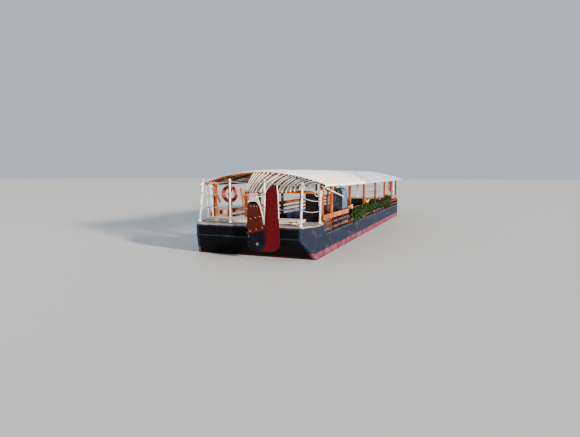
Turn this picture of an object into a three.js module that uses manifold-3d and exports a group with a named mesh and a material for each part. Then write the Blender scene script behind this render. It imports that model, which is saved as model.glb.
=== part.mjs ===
// Canal barge: a flat-bottomed, square-ended passenger barge with a canvas canopy on wooden posts.
// Millimetres, +Z up, +Y towards the bow, +X to starboard. The origin is the centre of the flat bottom.
// Inside the barge group, y is measured from the stern transom and z from the flat bottom.
import * as THREE from "three";
import { mergeVertices } from "three/addons/utils/BufferGeometryUtils.js";
import Module from "manifold-3d";

const wasm = await Module();
wasm.setup();

// Hull.
const LENGTH = 14040;
const HALF_BEAM = 1675;
const STERN_HALF_WIDTH = 1430;
const KNUCKLE = 476;
const DRAFT = 400;
const HULL_TOP = DRAFT + 820;
const GUNWALE = DRAFT + 541;
const RAKE_TOP = DRAFT + 535;
const RAKE_RUN = 832;
const STEP_TOP = 1043;
const STEP_FOOT = 1266;
const BOW_STEP_TOP = 560;
const BOW_STEP_FOOT = 610;
const WALL = 60;
const GAP = 0.3;
const DECK_THICKNESS = 40;
const DECK_TOP = HULL_TOP + DECK_THICKNESS;
const AFT_DECK = 1290;
const FORE_DECK = 640;
const FLOOR_TOP = 220;
const FLOOR_BOARD = 40;

// Side rails, posts and canopy.
const RAIL_PLANKS = [
  { name: "top", low: DRAFT + 930, high: DRAFT + 1060 },
  { name: "middle", low: DRAFT + 792, high: DRAFT + 857 },
  { name: "lower", low: DRAFT + 643, high: DRAFT + 708 },
];
const RAIL_PLANK = 30;
const RAIL_START = 1075;
const RAIL_END = LENGTH - 645;
const POST_STATIONS = [1220, 2080, 4140, 6200, 8280, 10340, 12200, 13500];
const POST_WIDE = 65;
const POST_DEEP = 130;
const POST_OUT = 1610;
const EAVE_BEAM_LOW = DRAFT + 1800;
const EAVE_BEAM_HIGH = DRAFT + 1880;
const CANOPY_HALF_WIDTH = 1800;
const CANOPY_AFT = 820;
const CANOPY_FORE = 13800;
const CANOPY_EAVE = DRAFT + 1850;
const CANOPY_CROWN = DRAFT + 2235;
const CANOPY_THICKNESS = 12;
const TIE_LOW = DRAFT + 1600;
const TIE_HIGH = DRAFT + 1680;
const MID_POST_X = -580;

// Rudder.
const PIVOT_X = 140;
const PIVOT_Y = -115;
const BOLT_X = 390;
const BOLT_Z = DRAFT + 426;

// Materials.
const paint = (color, roughness = 0.6, metalness = 0) =>
  new THREE.MeshStandardMaterial({ color, roughness, metalness });
const colours = {
  hull: 0x2c3a4a,
  dark: 0x14161a,
  red: 0x9c1c22,
  rust: 0x7a3018,
  wood: 0xb4602c,
  deck: 0xb9b2a6,
  canvas: 0xe9e6dc,
  white: 0xe8e8e4,
  steel: 0x8c9094,
  green: 0x355c24,
  locker: 0x7d93ad,
  rope: 0xd8d4c8,
};

// Geometry helpers.
function box(x0, x1, y0, y1, z0, z1) {
  const geometry = new THREE.BoxGeometry(x1 - x0, y1 - y0, z1 - z0);
  geometry.translate((x0 + x1) / 2, (y0 + y1) / 2, (z0 + z1) / 2);
  return geometry;
}

function outline(points) {
  return new THREE.Shape(points.map(([a, b]) => new THREE.Vector2(a, b)));
}

function extrude(shape, depth) {
  return new THREE.ExtrudeGeometry(shape, { depth, bevelEnabled: false, curveSegments: 10 });
}

// Profile in y and z, carried across from x0 to x1.
function acrossX(shape, x0, x1) {
  const geometry = extrude(shape, x1 - x0);
  geometry.applyMatrix4(new THREE.Matrix4().set(0, 0, 1, x0, 1, 0, 0, 0, 0, 1, 0, 0, 0, 0, 0, 1));
  return geometry;
}

// Profile in x and z, carried along from y0 to y1.
function alongY(shape, y0, y1) {
  const geometry = extrude(shape, y1 - y0);
  geometry.rotateX(Math.PI / 2);
  geometry.translate(0, y1, 0);
  return geometry;
}

// Profile in x and y, carried up from z0 to z1.
function upZ(shape, z0, z1) {
  const geometry = extrude(shape, z1 - z0);
  geometry.translate(0, 0, z0);
  return geometry;
}

function rod(from, to, radius, sides = 12) {
  const a = new THREE.Vector3(...from);
  const b = new THREE.Vector3(...to);
  const length = a.distanceTo(b);
  const geometry = new THREE.CylinderGeometry(radius, radius, length, sides);
  const turn = new THREE.Quaternion().setFromUnitVectors(
    new THREE.Vector3(0, 1, 0), b.clone().sub(a).normalize());
  geometry.applyQuaternion(turn);
  geometry.translate(...a.add(b).multiplyScalar(0.5).toArray());
  return geometry;
}

function bare(geometry) {
  const copy = geometry.clone();
  copy.deleteAttribute("normal");
  copy.deleteAttribute("uv");
  return mergeVertices(copy, 1e-3);
}

function solid(geometry) {
  const merged = bare(geometry);
  return new wasm.Manifold(new wasm.Mesh({
    numProp: 3,
    vertProperties: new Float32Array(merged.attributes.position.array),
    triVerts: new Uint32Array(merged.index.array),
  }));
}

function shell(manifold) {
  const mesh = manifold.getMesh();
  const geometry = new THREE.BufferGeometry();
  geometry.setAttribute("position", new THREE.BufferAttribute(mesh.vertProperties, 3));
  geometry.setIndex(new THREE.BufferAttribute(mesh.triVerts, 1));
  return geometry;
}

function union(...geometries) {
  return shell(geometries.map(solid).reduce((whole, next) => whole.add(next)));
}

function cut(body, ...tools) {
  return shell(tools.map(solid).reduce((whole, next) => whole.subtract(next), solid(body)));
}

function common(first, second) {
  return shell(solid(first).intersect(solid(second)));
}

function mirrored(geometry) {
  const copy = bare(geometry);
  copy.scale(-1, 1, 1);
  const index = copy.index.array;
  for (let i = 0; i < index.length; i += 3) {
    const kept = index[i + 1];
    index[i + 1] = index[i + 2];
    index[i + 2] = kept;
  }
  return copy;
}

const barge = new THREE.Group();
barge.position.y = -LENGTH / 2;

function piece(name, geometry, material, parent = barge) {
  const flat = geometry.index ? geometry.toNonIndexed() : geometry;
  flat.computeVertexNormals();
  const mesh = new THREE.Mesh(flat, material);
  mesh.name = name;
  parent.add(mesh);
  return mesh;
}

// Hull plates.
// Plan of the hull, drawn inside by the given distance.
function hullPlan(inset) {
  const slope = (HALF_BEAM - STERN_HALF_WIDTH) / KNUCKLE;
  const side = HALF_BEAM - inset;
  const end = STERN_HALF_WIDTH - inset * Math.hypot(1, slope);
  const bend = (side - end) / slope;
  const starboard = [[end, 0], [side, bend], [side, LENGTH - bend], [end, LENGTH]];
  const port = starboard.map(([x, y]) => [-x, y]).reverse();
  return [...starboard, ...port];
}

function hullSide() {
  const ring = cut(
    upZ(outline(hullPlan(0)), 0, HULL_TOP),
    upZ(outline(hullPlan(WALL)), -10, HULL_TOP + 10));
  const profile = outline([
    [0, HULL_TOP], [0, RAKE_TOP], [RAKE_RUN, 0], [LENGTH - RAKE_RUN, 0], [LENGTH, RAKE_TOP],
    [LENGTH, HULL_TOP], [LENGTH - BOW_STEP_TOP, HULL_TOP], [LENGTH - BOW_STEP_FOOT, GUNWALE],
    [STEP_FOOT, GUNWALE], [STEP_TOP, HULL_TOP],
  ].reverse());
  return common(ring, acrossX(profile, 500, HALF_BEAM + 10));
}

const rakeLength = Math.hypot(RAKE_RUN, RAKE_TOP);
const rakeThickness = WALL * rakeLength / RAKE_TOP;

// Transom and sloping end plate in one: the profile of the stern end.
function hullEnd() {
  const bend = RAKE_TOP + (rakeThickness - WALL) * RAKE_TOP / RAKE_RUN;
  const profile = outline([
    [0, RAKE_TOP], [RAKE_RUN, 0], [RAKE_RUN + rakeThickness, 0], [WALL, bend],
    [WALL, HULL_TOP], [0, HULL_TOP],
  ]);
  return common(
    acrossX(profile, -HALF_BEAM, HALF_BEAM),
    upZ(outline(hullPlan(WALL + GAP)), -10, HULL_TOP + 10));
}

// The same piece at the bow.
function atBow(geometry) {
  const copy = bare(geometry);
  copy.rotateZ(Math.PI);
  copy.translate(0, LENGTH, 0);
  return copy;
}

const bottomInset = RAKE_RUN + rakeThickness + GAP;
const bottomSlope = RAKE_RUN / RAKE_TOP * WALL;
const bottomProfile = outline([
  [bottomInset, 0], [LENGTH - bottomInset, 0],
  [LENGTH - bottomInset + bottomSlope, WALL], [bottomInset - bottomSlope, WALL],
]);
piece("hull_bottom", acrossX(bottomProfile, -(HALF_BEAM - WALL - GAP), HALF_BEAM - WALL - GAP),
  paint(colours.dark, 0.8));
piece("hull_side_starboard", hullSide(), paint(colours.hull, 0.45));
piece("hull_side_port", mirrored(hullSide()), paint(colours.hull, 0.45));
piece("hull_stern", hullEnd(), paint(colours.dark, 0.6));
piece("hull_bow", atBow(hullEnd()), paint(colours.dark, 0.6));

// Raised border of the bare nameboard on the transom.
const BORDER = 35;
const BORDER_PROUD = 12;
const borderOuter = box(-STERN_HALF_WIDTH + 2, STERN_HALF_WIDTH - 2, -BORDER_PROUD, -GAP,
  RAKE_TOP + 2, HULL_TOP - 2);
const borderInner = box(-STERN_HALF_WIDTH + BORDER, STERN_HALF_WIDTH - BORDER, -50, 50,
  RAKE_TOP + BORDER, HULL_TOP - BORDER);
piece("nameboard_border", cut(borderOuter, borderInner), paint(0x4a5a70, 0.5));

// Decks, bulkheads, floor.
function deck(fullWidth, end) {
  const starboard = [
    [STERN_HALF_WIDTH, 0], [HALF_BEAM, KNUCKLE], [HALF_BEAM, fullWidth],
    [HALF_BEAM - WALL - 2, fullWidth], [HALF_BEAM - WALL - 2, end],
  ];
  const plan = outline([...starboard, ...starboard.map(([x, y]) => [-x, y]).reverse()]);
  return upZ(plan, HULL_TOP + GAP, DECK_TOP);
}
piece("aft_deck", deck(STEP_TOP - 4, AFT_DECK), paint(colours.deck, 0.9));
piece("fore_deck", atBow(deck(BOW_STEP_TOP - 4, FORE_DECK)), paint(colours.deck, 0.9));

const INSIDE = HALF_BEAM - WALL - GAP;
// The fore bulkhead stands on the sloping end plate, the aft one on the bottom.
const slopeFoot = RAKE_TOP * (1 - (FORE_DECK - 45 - rakeThickness) / RAKE_RUN) + 2 * GAP;
const bulkhead = (end, foot) => box(-INSIDE, INSIDE, end - 45, end - 5, foot, HULL_TOP);
piece("aft_bulkhead", bulkhead(AFT_DECK, WALL + GAP), paint(colours.dark, 0.8));
piece("fore_bulkhead", atBow(bulkhead(FORE_DECK, slopeFoot)), paint(colours.dark, 0.8));
const floorStart = AFT_DECK - 5 + GAP;
const floorEnd = LENGTH - RAKE_RUN - 60;
const BEARERS = 9;
const floorParts = [box(-INSIDE, INSIDE, floorStart, floorEnd,
  FLOOR_TOP - FLOOR_BOARD, FLOOR_TOP)];
for (let i = 0; i < BEARERS; i += 1) {
  const y = 1700 + i * (LENGTH - 3400) / (BEARERS - 1);
  floorParts.push(box(-INSIDE, INSIDE, y - 50, y + 50, WALL + GAP, FLOOR_TOP - FLOOR_BOARD + 1));
}
piece("floor", union(...floorParts), paint(0x8a8276, 0.9));

// Raised plank platform on the stern deck.
piece("stern_platform", box(-1450, 1180, 480, 1150, DECK_TOP + GAP, DECK_TOP + 75),
  paint(colours.deck, 0.9));

// Steps from the stern deck down to the floor, on the open port side.
const STEPS_PORT = -1450;
const STEPS_INNER = -700;
const STEPS = [
  { rise: 800, run: 300 },
  { rise: 530, run: 600 },
  { rise: 260, run: 900 },
];
const stairs = STEPS.map(({ rise, run }) =>
  box(STEPS_PORT, STEPS_INNER, floorStart + GAP, floorStart + run, FLOOR_TOP + GAP,
    FLOOR_TOP + rise));
piece("companion_steps", union(...stairs), paint(colours.wood, 0.8));

// Gunwale caps, rails, posts.
const cap = box(HALF_BEAM - WALL - 40, HALF_BEAM + 12, AFT_DECK + 2, LENGTH - FORE_DECK - 2,
  GUNWALE + GAP, GUNWALE + 28);
const postNotches = POST_STATIONS.map((y) =>
  box(POST_OUT - POST_WIDE - GAP, POST_OUT + GAP, y - POST_DEEP / 2 - GAP, y + POST_DEEP / 2 + GAP,
    GUNWALE - 50, GUNWALE + 80));
const cappedSide = cut(cap, ...postNotches);
piece("gunwale_cap_starboard", cappedSide, paint(0x8a97a8, 0.5));
piece("gunwale_cap_port", mirrored(cappedSide), paint(0x8a97a8, 0.5));

function railSide() {
  const parts = RAIL_PLANKS.map(({ low, high }) => {
    const start = low < HULL_TOP ? RAIL_START + 170 : RAIL_START;
    return box(HALF_BEAM - RAIL_PLANK, HALF_BEAM, start, RAIL_END, low, high);
  });
  for (const y of POST_STATIONS.slice(1, -1)) {
    parts.push(box(POST_OUT + GAP, HALF_BEAM - RAIL_PLANK + 1, y - 45, y + 45,
      GUNWALE + 28 + GAP, RAIL_PLANKS[0].high - 10));
  }
  for (const y of [POST_STATIONS[0] + 20, RAIL_END - 50]) {
    parts.push(box(POST_OUT + GAP, HALF_BEAM - RAIL_PLANK + 1, y - 45, y + 45,
      DECK_TOP + 5, RAIL_PLANKS[0].high - 10));
  }
  return union(...parts);
}
piece("side_rail_starboard", railSide(), paint(colours.wood, 0.75));
piece("side_rail_port", mirrored(railSide()), paint(colours.wood, 0.75));

// One row of posts with the eave beam along their heads.
function postRow() {
  const last = POST_STATIONS.length - 1;
  const posts = POST_STATIONS.map((y, i) => box(POST_OUT - POST_WIDE, POST_OUT,
    y - POST_DEEP / 2, y + POST_DEEP / 2,
    i === 0 || i === last ? DECK_TOP + GAP : FLOOR_TOP + GAP, EAVE_BEAM_LOW + 1));
  return union(...posts, box(POST_OUT - POST_WIDE, POST_OUT, POST_STATIONS[0] - POST_DEEP / 2,
    POST_STATIONS[last] + POST_DEEP / 2,
    EAVE_BEAM_LOW, EAVE_BEAM_HIGH));
}
piece("post_row_starboard", postRow(), paint(colours.wood, 0.75));
piece("post_row_port", mirrored(postRow()), paint(colours.wood, 0.75));

// Canopy on its bows.
function canopyHeight(x, y) {
  const across = Math.min(1, Math.abs(x) / CANOPY_HALF_WIDTH);
  const nearEnd = Math.max(0, 1 - Math.min(y - CANOPY_AFT, CANOPY_FORE - y) / 900);
  const crown = CANOPY_CROWN - 70 * nearEnd * nearEnd;
  return crown - (crown - CANOPY_EAVE) * across * across;
}

// Height of the flat-faceted underside, so that bows and battens lie close under it.
const CANOPY_ACROSS = 16;
const facet = 2 * CANOPY_HALF_WIDTH / CANOPY_ACROSS;
function facetHeight(x, y) {
  const low = Math.floor(Math.abs(x) / facet + 1e-9) * facet;
  const share = (Math.abs(x) - low) / facet;
  return canopyHeight(low, y) * (1 - share) + canopyHeight(low + facet, y) * share;
}

const BOW_WIDE = 50;
const bowStations = [CANOPY_AFT + 60, ...POST_STATIONS, CANOPY_FORE - 60];
const EDGE_BOW_DEPTH = 35;
const BOW_DEPTH = 62;
const BOW_REACH = CANOPY_HALF_WIDTH - 40;
const BOW_SHOULDER = POST_OUT + 2;
const crossings = [-BOW_REACH, -BOW_SHOULDER];
for (let i = 1; i < CANOPY_ACROSS; i += 1) {
  crossings.push(-CANOPY_HALF_WIDTH + i * facet);
}
crossings.push(BOW_SHOULDER, BOW_REACH);

// A bow lies on both eave beams and tapers past them to the eave battens.
function bow(y) {
  const over = crossings.map((x) => [x, Math.min(facetHeight(x, y - BOW_WIDE / 2),
    facetHeight(x, y + BOW_WIDE / 2)) - CANOPY_THICKNESS - GAP]);
  const depth = POST_STATIONS.includes(y) ? BOW_DEPTH : EDGE_BOW_DEPTH;
  const under = over.map(([x, z]) => [x, Math.abs(x) > BOW_SHOULDER ? z - EDGE_BOW_DEPTH
    : Math.max(z - depth, EAVE_BEAM_HIGH + GAP)]);
  return alongY(outline([...under, ...over.reverse()]), y - BOW_WIDE / 2, y + BOW_WIDE / 2);
}
const ROOF_BATTENS = [-1080, -540, 0, 540, 1080];
const battens = ROOF_BATTENS.map((x) => {
  const line = [bowStations[0], CANOPY_AFT + 400, CANOPY_AFT + 900, CANOPY_FORE - 900,
    CANOPY_FORE - 400, bowStations[bowStations.length - 1]];
  const under = line.map((y) => [y, canopyHeight(x, y) - CANOPY_THICKNESS - 62]);
  const over = line.map((y) => [y, canopyHeight(x, y) - CANOPY_THICKNESS - 24]).reverse();
  return acrossX(outline([...under, ...over]), x - 22, x + 22);
});
const EAVE_BATTEN_WIDE = 24;
const EAVE_BATTEN_TOP = facetHeight(BOW_REACH, CANOPY_AFT) - CANOPY_THICKNESS - GAP;
const eaveBattens = [-BOW_REACH, BOW_REACH - EAVE_BATTEN_WIDE].map((x) =>
  box(x, x + EAVE_BATTEN_WIDE, bowStations[0] - BOW_WIDE / 2,
    bowStations[bowStations.length - 1] + BOW_WIDE / 2,
    EAVE_BATTEN_TOP - EDGE_BOW_DEPTH, EAVE_BATTEN_TOP));
piece("roof_frame", union(...bowStations.map(bow), ...battens, ...eaveBattens),
  paint(colours.wood, 0.75));

// The canvas has a row of vertices along each edge of every bow.
const canopyRows = [CANOPY_AFT];
bowStations.forEach((y, i) => {
  const last = canopyRows[canopyRows.length - 1];
  if (i > 0) {
    canopyRows.push((last + y - BOW_WIDE / 2) / 2);
  }
  canopyRows.push(y - BOW_WIDE / 2, y + BOW_WIDE / 2);
});
canopyRows.push(CANOPY_FORE);
const canopy = new THREE.BoxGeometry(2 * CANOPY_HALF_WIDTH, canopyRows.length - 1,
  CANOPY_THICKNESS, CANOPY_ACROSS, canopyRows.length - 1, 1);
const spots = canopy.attributes.position;
for (let i = 0; i < spots.count; i += 1) {
  const row = Math.round(spots.getY(i) + (canopyRows.length - 1) / 2);
  const y = canopyRows[row];
  const lift = canopyHeight(spots.getX(i), y) - CANOPY_THICKNESS / 2;
  spots.setXYZ(i, spots.getX(i), y, spots.getZ(i) + lift);
}
piece("canopy", bare(canopy), paint(colours.canvas, 0.85));

// Aft frame: tie beam, middle post and dark panel.
const frameAft = POST_STATIONS[0] - 40;
const frameFore = POST_STATIONS[0] + 40;
piece("aft_tie_beam", box(MID_POST_X - 55, POST_OUT - POST_WIDE - GAP, frameAft, frameFore,
  TIE_LOW, TIE_HIGH), paint(colours.rust, 0.75));
piece("aft_middle_post", box(MID_POST_X - 55, MID_POST_X + 55, frameAft - 10, frameFore + 10,
  DECK_TOP + GAP, TIE_LOW - GAP), paint(colours.wood, 0.75));
piece("aft_panel", box(1130, 1480, frameAft + 20, frameFore - 20, DECK_TOP + GAP, TIE_LOW - GAP),
  paint(colours.dark, 0.7));

// Gathered end curtain, tied down to the tie beam.
const CURTAIN_LOW = TIE_HIGH - 20;
const CURTAIN_TOP_Y = CANOPY_AFT + 12;
const CURTAIN_LOW_Y = frameAft - 5.3;
const curtain = new THREE.BoxGeometry(1, 10, 1, 12, 1, 4);
const folds = curtain.attributes.position;
for (let i = 0; i < folds.count; i += 1) {
  const across = folds.getX(i) + 0.5;
  const up = folds.getZ(i) + 0.5;
  const topX = -220 + across * 1960;
  const lowX = -600 + 1980 * across ** 1.6;
  const x = lowX + (topX - lowX) * up;
  const topZ = canopyHeight(x, CANOPY_AFT) - CANOPY_THICKNESS - 6;
  const lowZ = CURTAIN_LOW + 110 * Math.max(0, across - 0.7) / 0.3;
  const y = CURTAIN_TOP_Y + (CURTAIN_LOW_Y - CURTAIN_TOP_Y) * (1 - up) ** 2;
  folds.setXYZ(i, x, y + folds.getY(i), lowZ + (topZ - lowZ) * up);
}
piece("end_curtain", bare(curtain), paint(colours.canvas, 0.85));

// Benches along both sides.
const BENCH_DEPTH = 420;
const BENCH_TOP = FLOOR_TOP + 430;
const BENCH_START = 3000;
const BENCH_END = LENGTH - 2300;
function benchSide() {
  const inner = POST_OUT - POST_WIDE - 3;
  const seat = box(inner - BENCH_DEPTH, inner, BENCH_START, BENCH_END, BENCH_TOP - 40, BENCH_TOP);
  const front = box(inner - BENCH_DEPTH + 40, inner - BENCH_DEPTH + 65, BENCH_START + 20,
    BENCH_END - 20, FLOOR_TOP + GAP, BENCH_TOP - 39);
  return union(seat, front);
}
piece("bench_starboard", benchSide(), paint(colours.wood, 0.8));
piece("bench_port", mirrored(benchSide()), paint(colours.wood, 0.8));

// Stanchions and rail ropes.
const STANCHIONS = [
  { name: "port_forward", foot: [-1580, 1080], top: [-1650, 1070], high: 930 },
  { name: "port_corner", foot: [-1540, 320], top: [-1415, 330], high: 1130 },
  { name: "port_middle", foot: [-630, 340], top: [-630, 340], high: 1140 },
  { name: "middle", foot: [350, 340], top: [350, 340], high: 1130 },
  { name: "starboard_corner", foot: [1420, 60], top: [1425, 160], high: 1060 },
  { name: "starboard_forward", foot: [1610, 960], top: [1625, 960], high: 860 },
];
const STANCHION_RADIUS = 24;
const stanchion = ({ foot, top, high }) => rod(
  [...foot, DECK_TOP - 20], [...top, DECK_TOP + high], STANCHION_RADIUS, 12);

function railPoint({ foot, top, high }, share) {
  const z = DECK_TOP + GAP + share * (high - 40);
  return new THREE.Vector3(
    foot[0] + (top[0] - foot[0]) * share, foot[1] + (top[1] - foot[1]) * share, z);
}

const ROPE_RADIUS = 9;
const circle = new THREE.Shape(Array.from({ length: 8 }, (_, i) => new THREE.Vector2(
  ROPE_RADIUS * Math.cos(i * Math.PI / 4), ROPE_RADIUS * Math.sin(i * Math.PI / 4))));

function sag(from, to, drop) {
  const points = [];
  const run = to.clone().sub(from);
  for (let i = 0; i <= 8; i += 1) {
    const t = i / 8;
    const point = from.clone().addScaledVector(run, t);
    point.z -= drop * 4 * t * (1 - t);
    points.push(point);
  }
  return new THREE.ExtrudeGeometry(circle,
    { steps: 10, bevelEnabled: false, extrudePath: new THREE.CatmullRomCurve3(points) });
}

const ROPE_LEVELS = [0.97, 0.66, 0.35];
function railing(list) {
  const spans = list.map(stanchion);
  for (let i = 0; i + 1 < list.length; i += 1) {
    for (const level of ROPE_LEVELS) {
      spans.push(sag(railPoint(list[i], level), railPoint(list[i + 1], level), 45));
    }
  }
  const below = box(-2000, 2000, -500, 2500, DECK_TOP - 100, DECK_TOP + GAP);
  return cut(union(...spans), below);
}
piece("stern_railing", railing(STANCHIONS), paint(colours.white, 0.5));
const BOW_STANCHIONS = [-1390, -470, 470, 1390].map((x) =>
  ({ foot: [x, 60], top: [x, 60], high: 920 }));
piece("bow_railing", atBow(railing(BOW_STANCHIONS)), paint(colours.white, 0.5));

// Rudder hung on the transom, swung hard over to starboard.
const EYE_LEVELS = [
  { low: RAKE_TOP + 45, high: RAKE_TOP + 85 },
  { low: HULL_TOP - 85, high: HULL_TOP - 45 },
];
const PIN_RADIUS = 16;
const eyes = EYE_LEVELS.map(({ low, high }) => union(
  box(PIVOT_X - 20, PIVOT_X + 20, PIVOT_Y, -5, low, high),
  rod([PIVOT_X, PIVOT_Y, low], [PIVOT_X, PIVOT_Y, high], 24, 24)));
const backing = box(PIVOT_X - 45, PIVOT_X + 45, -8, -GAP, EYE_LEVELS[0].low - 5,
  EYE_LEVELS[1].high + 5);
piece("rudder_gudgeons", cut(union(backing, ...eyes),
  rod([PIVOT_X, PIVOT_Y, RAKE_TOP], [PIVOT_X, PIVOT_Y, HULL_TOP], PIN_RADIUS + 0.5, 24)),
paint(colours.steel, 0.5, 0.6));

const strapLow = (EYE_LEVELS[0].high + EYE_LEVELS[1].low) / 2 - 30;
piece("rudder_pintle", union(
  rod([PIVOT_X, PIVOT_Y, EYE_LEVELS[0].low - 25], [PIVOT_X, PIVOT_Y, EYE_LEVELS[1].high + 25],
    PIN_RADIUS, 24),
  box(PIVOT_X - 16, PIVOT_X + 40, PIVOT_Y - 30, PIVOT_Y + 16, strapLow, strapLow + 60)),
paint(colours.steel, 0.5, 0.6));

const PLATE_FRONT = PIVOT_Y - 30.3;
const PLATE_THICKNESS = 30;
const plateShape = new THREE.Shape();
plateShape.moveTo(150, DRAFT + 1456);
plateShape.lineTo(105, DRAFT + 460);
plateShape.absellipse(343.5, DRAFT + 460, 238.5, 222, Math.PI, 2 * Math.PI, false, 0);
plateShape.lineTo(582, DRAFT + 760);
plateShape.lineTo(400, DRAFT + 1456);
const notches = EYE_LEVELS.map(({ low, high }) =>
  box(0, PIVOT_X + 38, PIVOT_Y - 300, PIVOT_Y, low - 15, high + 15));
const boltHole = rod([BOLT_X, PIVOT_Y - 300, BOLT_Z], [BOLT_X, PIVOT_Y, BOLT_Z], 20.5, 24);
piece("rudder_plate",
  cut(alongY(plateShape, PLATE_FRONT - PLATE_THICKNESS, PLATE_FRONT), ...notches, boltHole),
  paint(colours.hull, 0.5));
const boardShape = outline([
  [108, DRAFT + 655], [580, DRAFT + 768], [414, DRAFT + 1388], [147, DRAFT + 1388],
]);
const boardBack = PLATE_FRONT - PLATE_THICKNESS - GAP;
piece("rudder_cheek_board", cut(alongY(boardShape, boardBack - 25, boardBack), notches[1]),
  paint(colours.rust, 0.7));

const bladeShape = new THREE.Shape();
bladeShape.moveTo(885, DRAFT + 1875);
bladeShape.bezierCurveTo(760, DRAFT + 1840, 640, DRAFT + 1760, 600, DRAFT + 1660);
bladeShape.lineTo(560, DRAFT + 760);
bladeShape.bezierCurveTo(500, DRAFT + 640, 205, DRAFT + 660, 205, DRAFT + 430);
bladeShape.bezierCurveTo(205, DRAFT + 320, 290, DRAFT + 235, 390, DRAFT + 235);
bladeShape.lineTo(740, DRAFT + 245);
bladeShape.bezierCurveTo(860, DRAFT + 255, 955, DRAFT + 340, 955, DRAFT + 470);
bladeShape.lineTo(920, DRAFT + 1500);
const bladeBack = PLATE_FRONT + GAP;
piece("rudder_blade", cut(alongY(bladeShape, bladeBack, bladeBack + 29), boltHole),
  paint(colours.red, 0.5));
piece("rudder_bolt", union(
  rod([BOLT_X, PLATE_FRONT - PLATE_THICKNESS - 14, BOLT_Z], [BOLT_X, bladeBack + 36, BOLT_Z],
    20, 24),
  rod([BOLT_X, PLATE_FRONT - PLATE_THICKNESS - 14, BOLT_Z],
    [BOLT_X, PLATE_FRONT - PLATE_THICKNESS - GAP, BOLT_Z], 34, 24)),
paint(colours.steel, 0.4, 0.7));

// Life rings, locker, pole, grab rails, flower boxes.
const RING_RADIUS = 186;
const RING_TUBE = 44;
function lifeRing() {
  const profile = [];
  const sides = 12;
  for (let i = 0; i <= sides; i += 1) {
    const a = i * 2 * Math.PI / sides;
    profile.push(new THREE.Vector2(RING_RADIUS + RING_TUBE * Math.cos(a), RING_TUBE * Math.sin(a)));
  }
  profile[sides] = profile[0].clone();
  return new THREE.LatheGeometry(profile, 24);
}
const sternRing = piece("life_ring_stern", bare(lifeRing()), paint(colours.red, 0.5));
sternRing.position.set(-672, 340 + STANCHION_RADIUS + RING_TUBE + GAP, DRAFT + 1600);
const bowRing = piece("life_ring_bow", bare(lifeRing()), paint(colours.red, 0.5));
bowRing.position.set(POST_OUT - POST_WIDE - RING_TUBE - GAP, 12200, DRAFT + 1500);
bowRing.rotation.z = Math.PI / 2;

const LOCKER = { x: 922, y: 5000, width: 365, depth: 700, straight: 1630, rise: 180 };
const lockerShape = new THREE.Shape();
lockerShape.moveTo(-LOCKER.width / 2, 0);
lockerShape.lineTo(LOCKER.width / 2, 0);
lockerShape.lineTo(LOCKER.width / 2, LOCKER.straight);
lockerShape.absellipse(0, LOCKER.straight, LOCKER.width / 2, LOCKER.rise, 0, Math.PI, false, 0);
const lockerBody = alongY(lockerShape, 0, LOCKER.depth);
const locker = piece("domed_locker", bare(lockerBody), paint(colours.locker, 0.5));
locker.position.set(LOCKER.x, LOCKER.y, FLOOR_TOP + GAP);

// The pole hangs outside the first two posts, in a hook on each.
const POLE = { x: 1640, aft: [1000, DRAFT + 1815], fore: [3200, DRAFT + 1430], radius: 17 };
const poleHooks = POST_STATIONS.slice(0, 2).map((y) => {
  const share = (y - POLE.aft[0]) / (POLE.fore[0] - POLE.aft[0]);
  const z = POLE.aft[1] + (POLE.fore[1] - POLE.aft[1]) * share;
  return box(POST_OUT + GAP, POLE.x, y - 15, y + 15, z - 12, z + 12);
});
piece("boat_pole", union(rod([POLE.x, ...POLE.aft], [POLE.x, ...POLE.fore], POLE.radius, 10),
  ...poleHooks), paint(0xe8d8a0, 0.6));

// Grab rails beside the steps: two slanted boards from one head, bolted to a post's side.
const GRAB_BOARD = 60;
const GRAB_THICK = 25;
const GRAB_LENGTH = 580;
const GRAB_SLOPES = [{ degrees: 53, back: 0 }, { degrees: 67.5, back: 32 }];
function grabRail(headY, headZ, x) {
  const boards = GRAB_SLOPES.map(({ degrees, back }) => {
    const angle = THREE.MathUtils.degToRad(degrees);
    const [c, s] = [Math.cos(angle), Math.sin(angle)];
    const half = GRAB_BOARD / 2;
    const corner = (along, side) =>
      [headY - back + c * along + s * side, headZ - s * along + c * side];
    return acrossX(outline([corner(0, -half), corner(GRAB_LENGTH, -half),
      corner(GRAB_LENGTH, half), corner(0, half)]), x, x + GRAB_THICK);
  });
  return union(...boards);
}
piece("grab_rail_port", grabRail(1065, 2155, -(POST_OUT - POST_WIDE) + GAP),
  paint(colours.wood, 0.75));
piece("grab_rail_middle", grabRail(985, 2125, MID_POST_X - 55 - GAP - GRAB_THICK),
  paint(colours.wood, 0.75));

const FLOWER_BOXES = [
  { start: 3950, end: 5650 },
  { start: 6150, end: 7850 },
  { start: 8350, end: 10450 },
];
const BOX_OUT = HALF_BEAM + GAP;
const boxShelf = box(BOX_OUT, BOX_OUT + 40, FLOWER_BOXES[0].start, FLOWER_BOXES.at(-1).end,
  DRAFT + 945, DRAFT + 975);
piece("flower_boxes", union(boxShelf, ...FLOWER_BOXES.map(({ start, end }) =>
  box(BOX_OUT, BOX_OUT + 170, start, end, DRAFT + 850, DRAFT + 1030))), paint(0x3c4436, 0.8));
const BUSH_REACH = 320;
function bush(start, end) {
  const ball = new THREE.SphereGeometry(1, 16, 10);
  ball.scale(115, (end - start) / 2 + BUSH_REACH, 140);
  ball.translate(BOX_OUT + 118, (start + end) / 2, DRAFT + 1030 + 140 + GAP);
  return ball;
}
piece("flowers", union(...FLOWER_BOXES.map(({ start, end }) => bush(start, end))),
  paint(colours.green, 0.9));

export default barge;
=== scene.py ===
"""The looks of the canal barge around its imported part. Metres: +Y to the bow, +X to starboard, +Z up."""
import random
from itertools import pairwise
from math import atan2, copysign, cos, degrees, hypot, pi, radians, sin, sqrt, tau

import bmesh
import bpy
from mathutils import Matrix, Vector, noise


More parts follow.
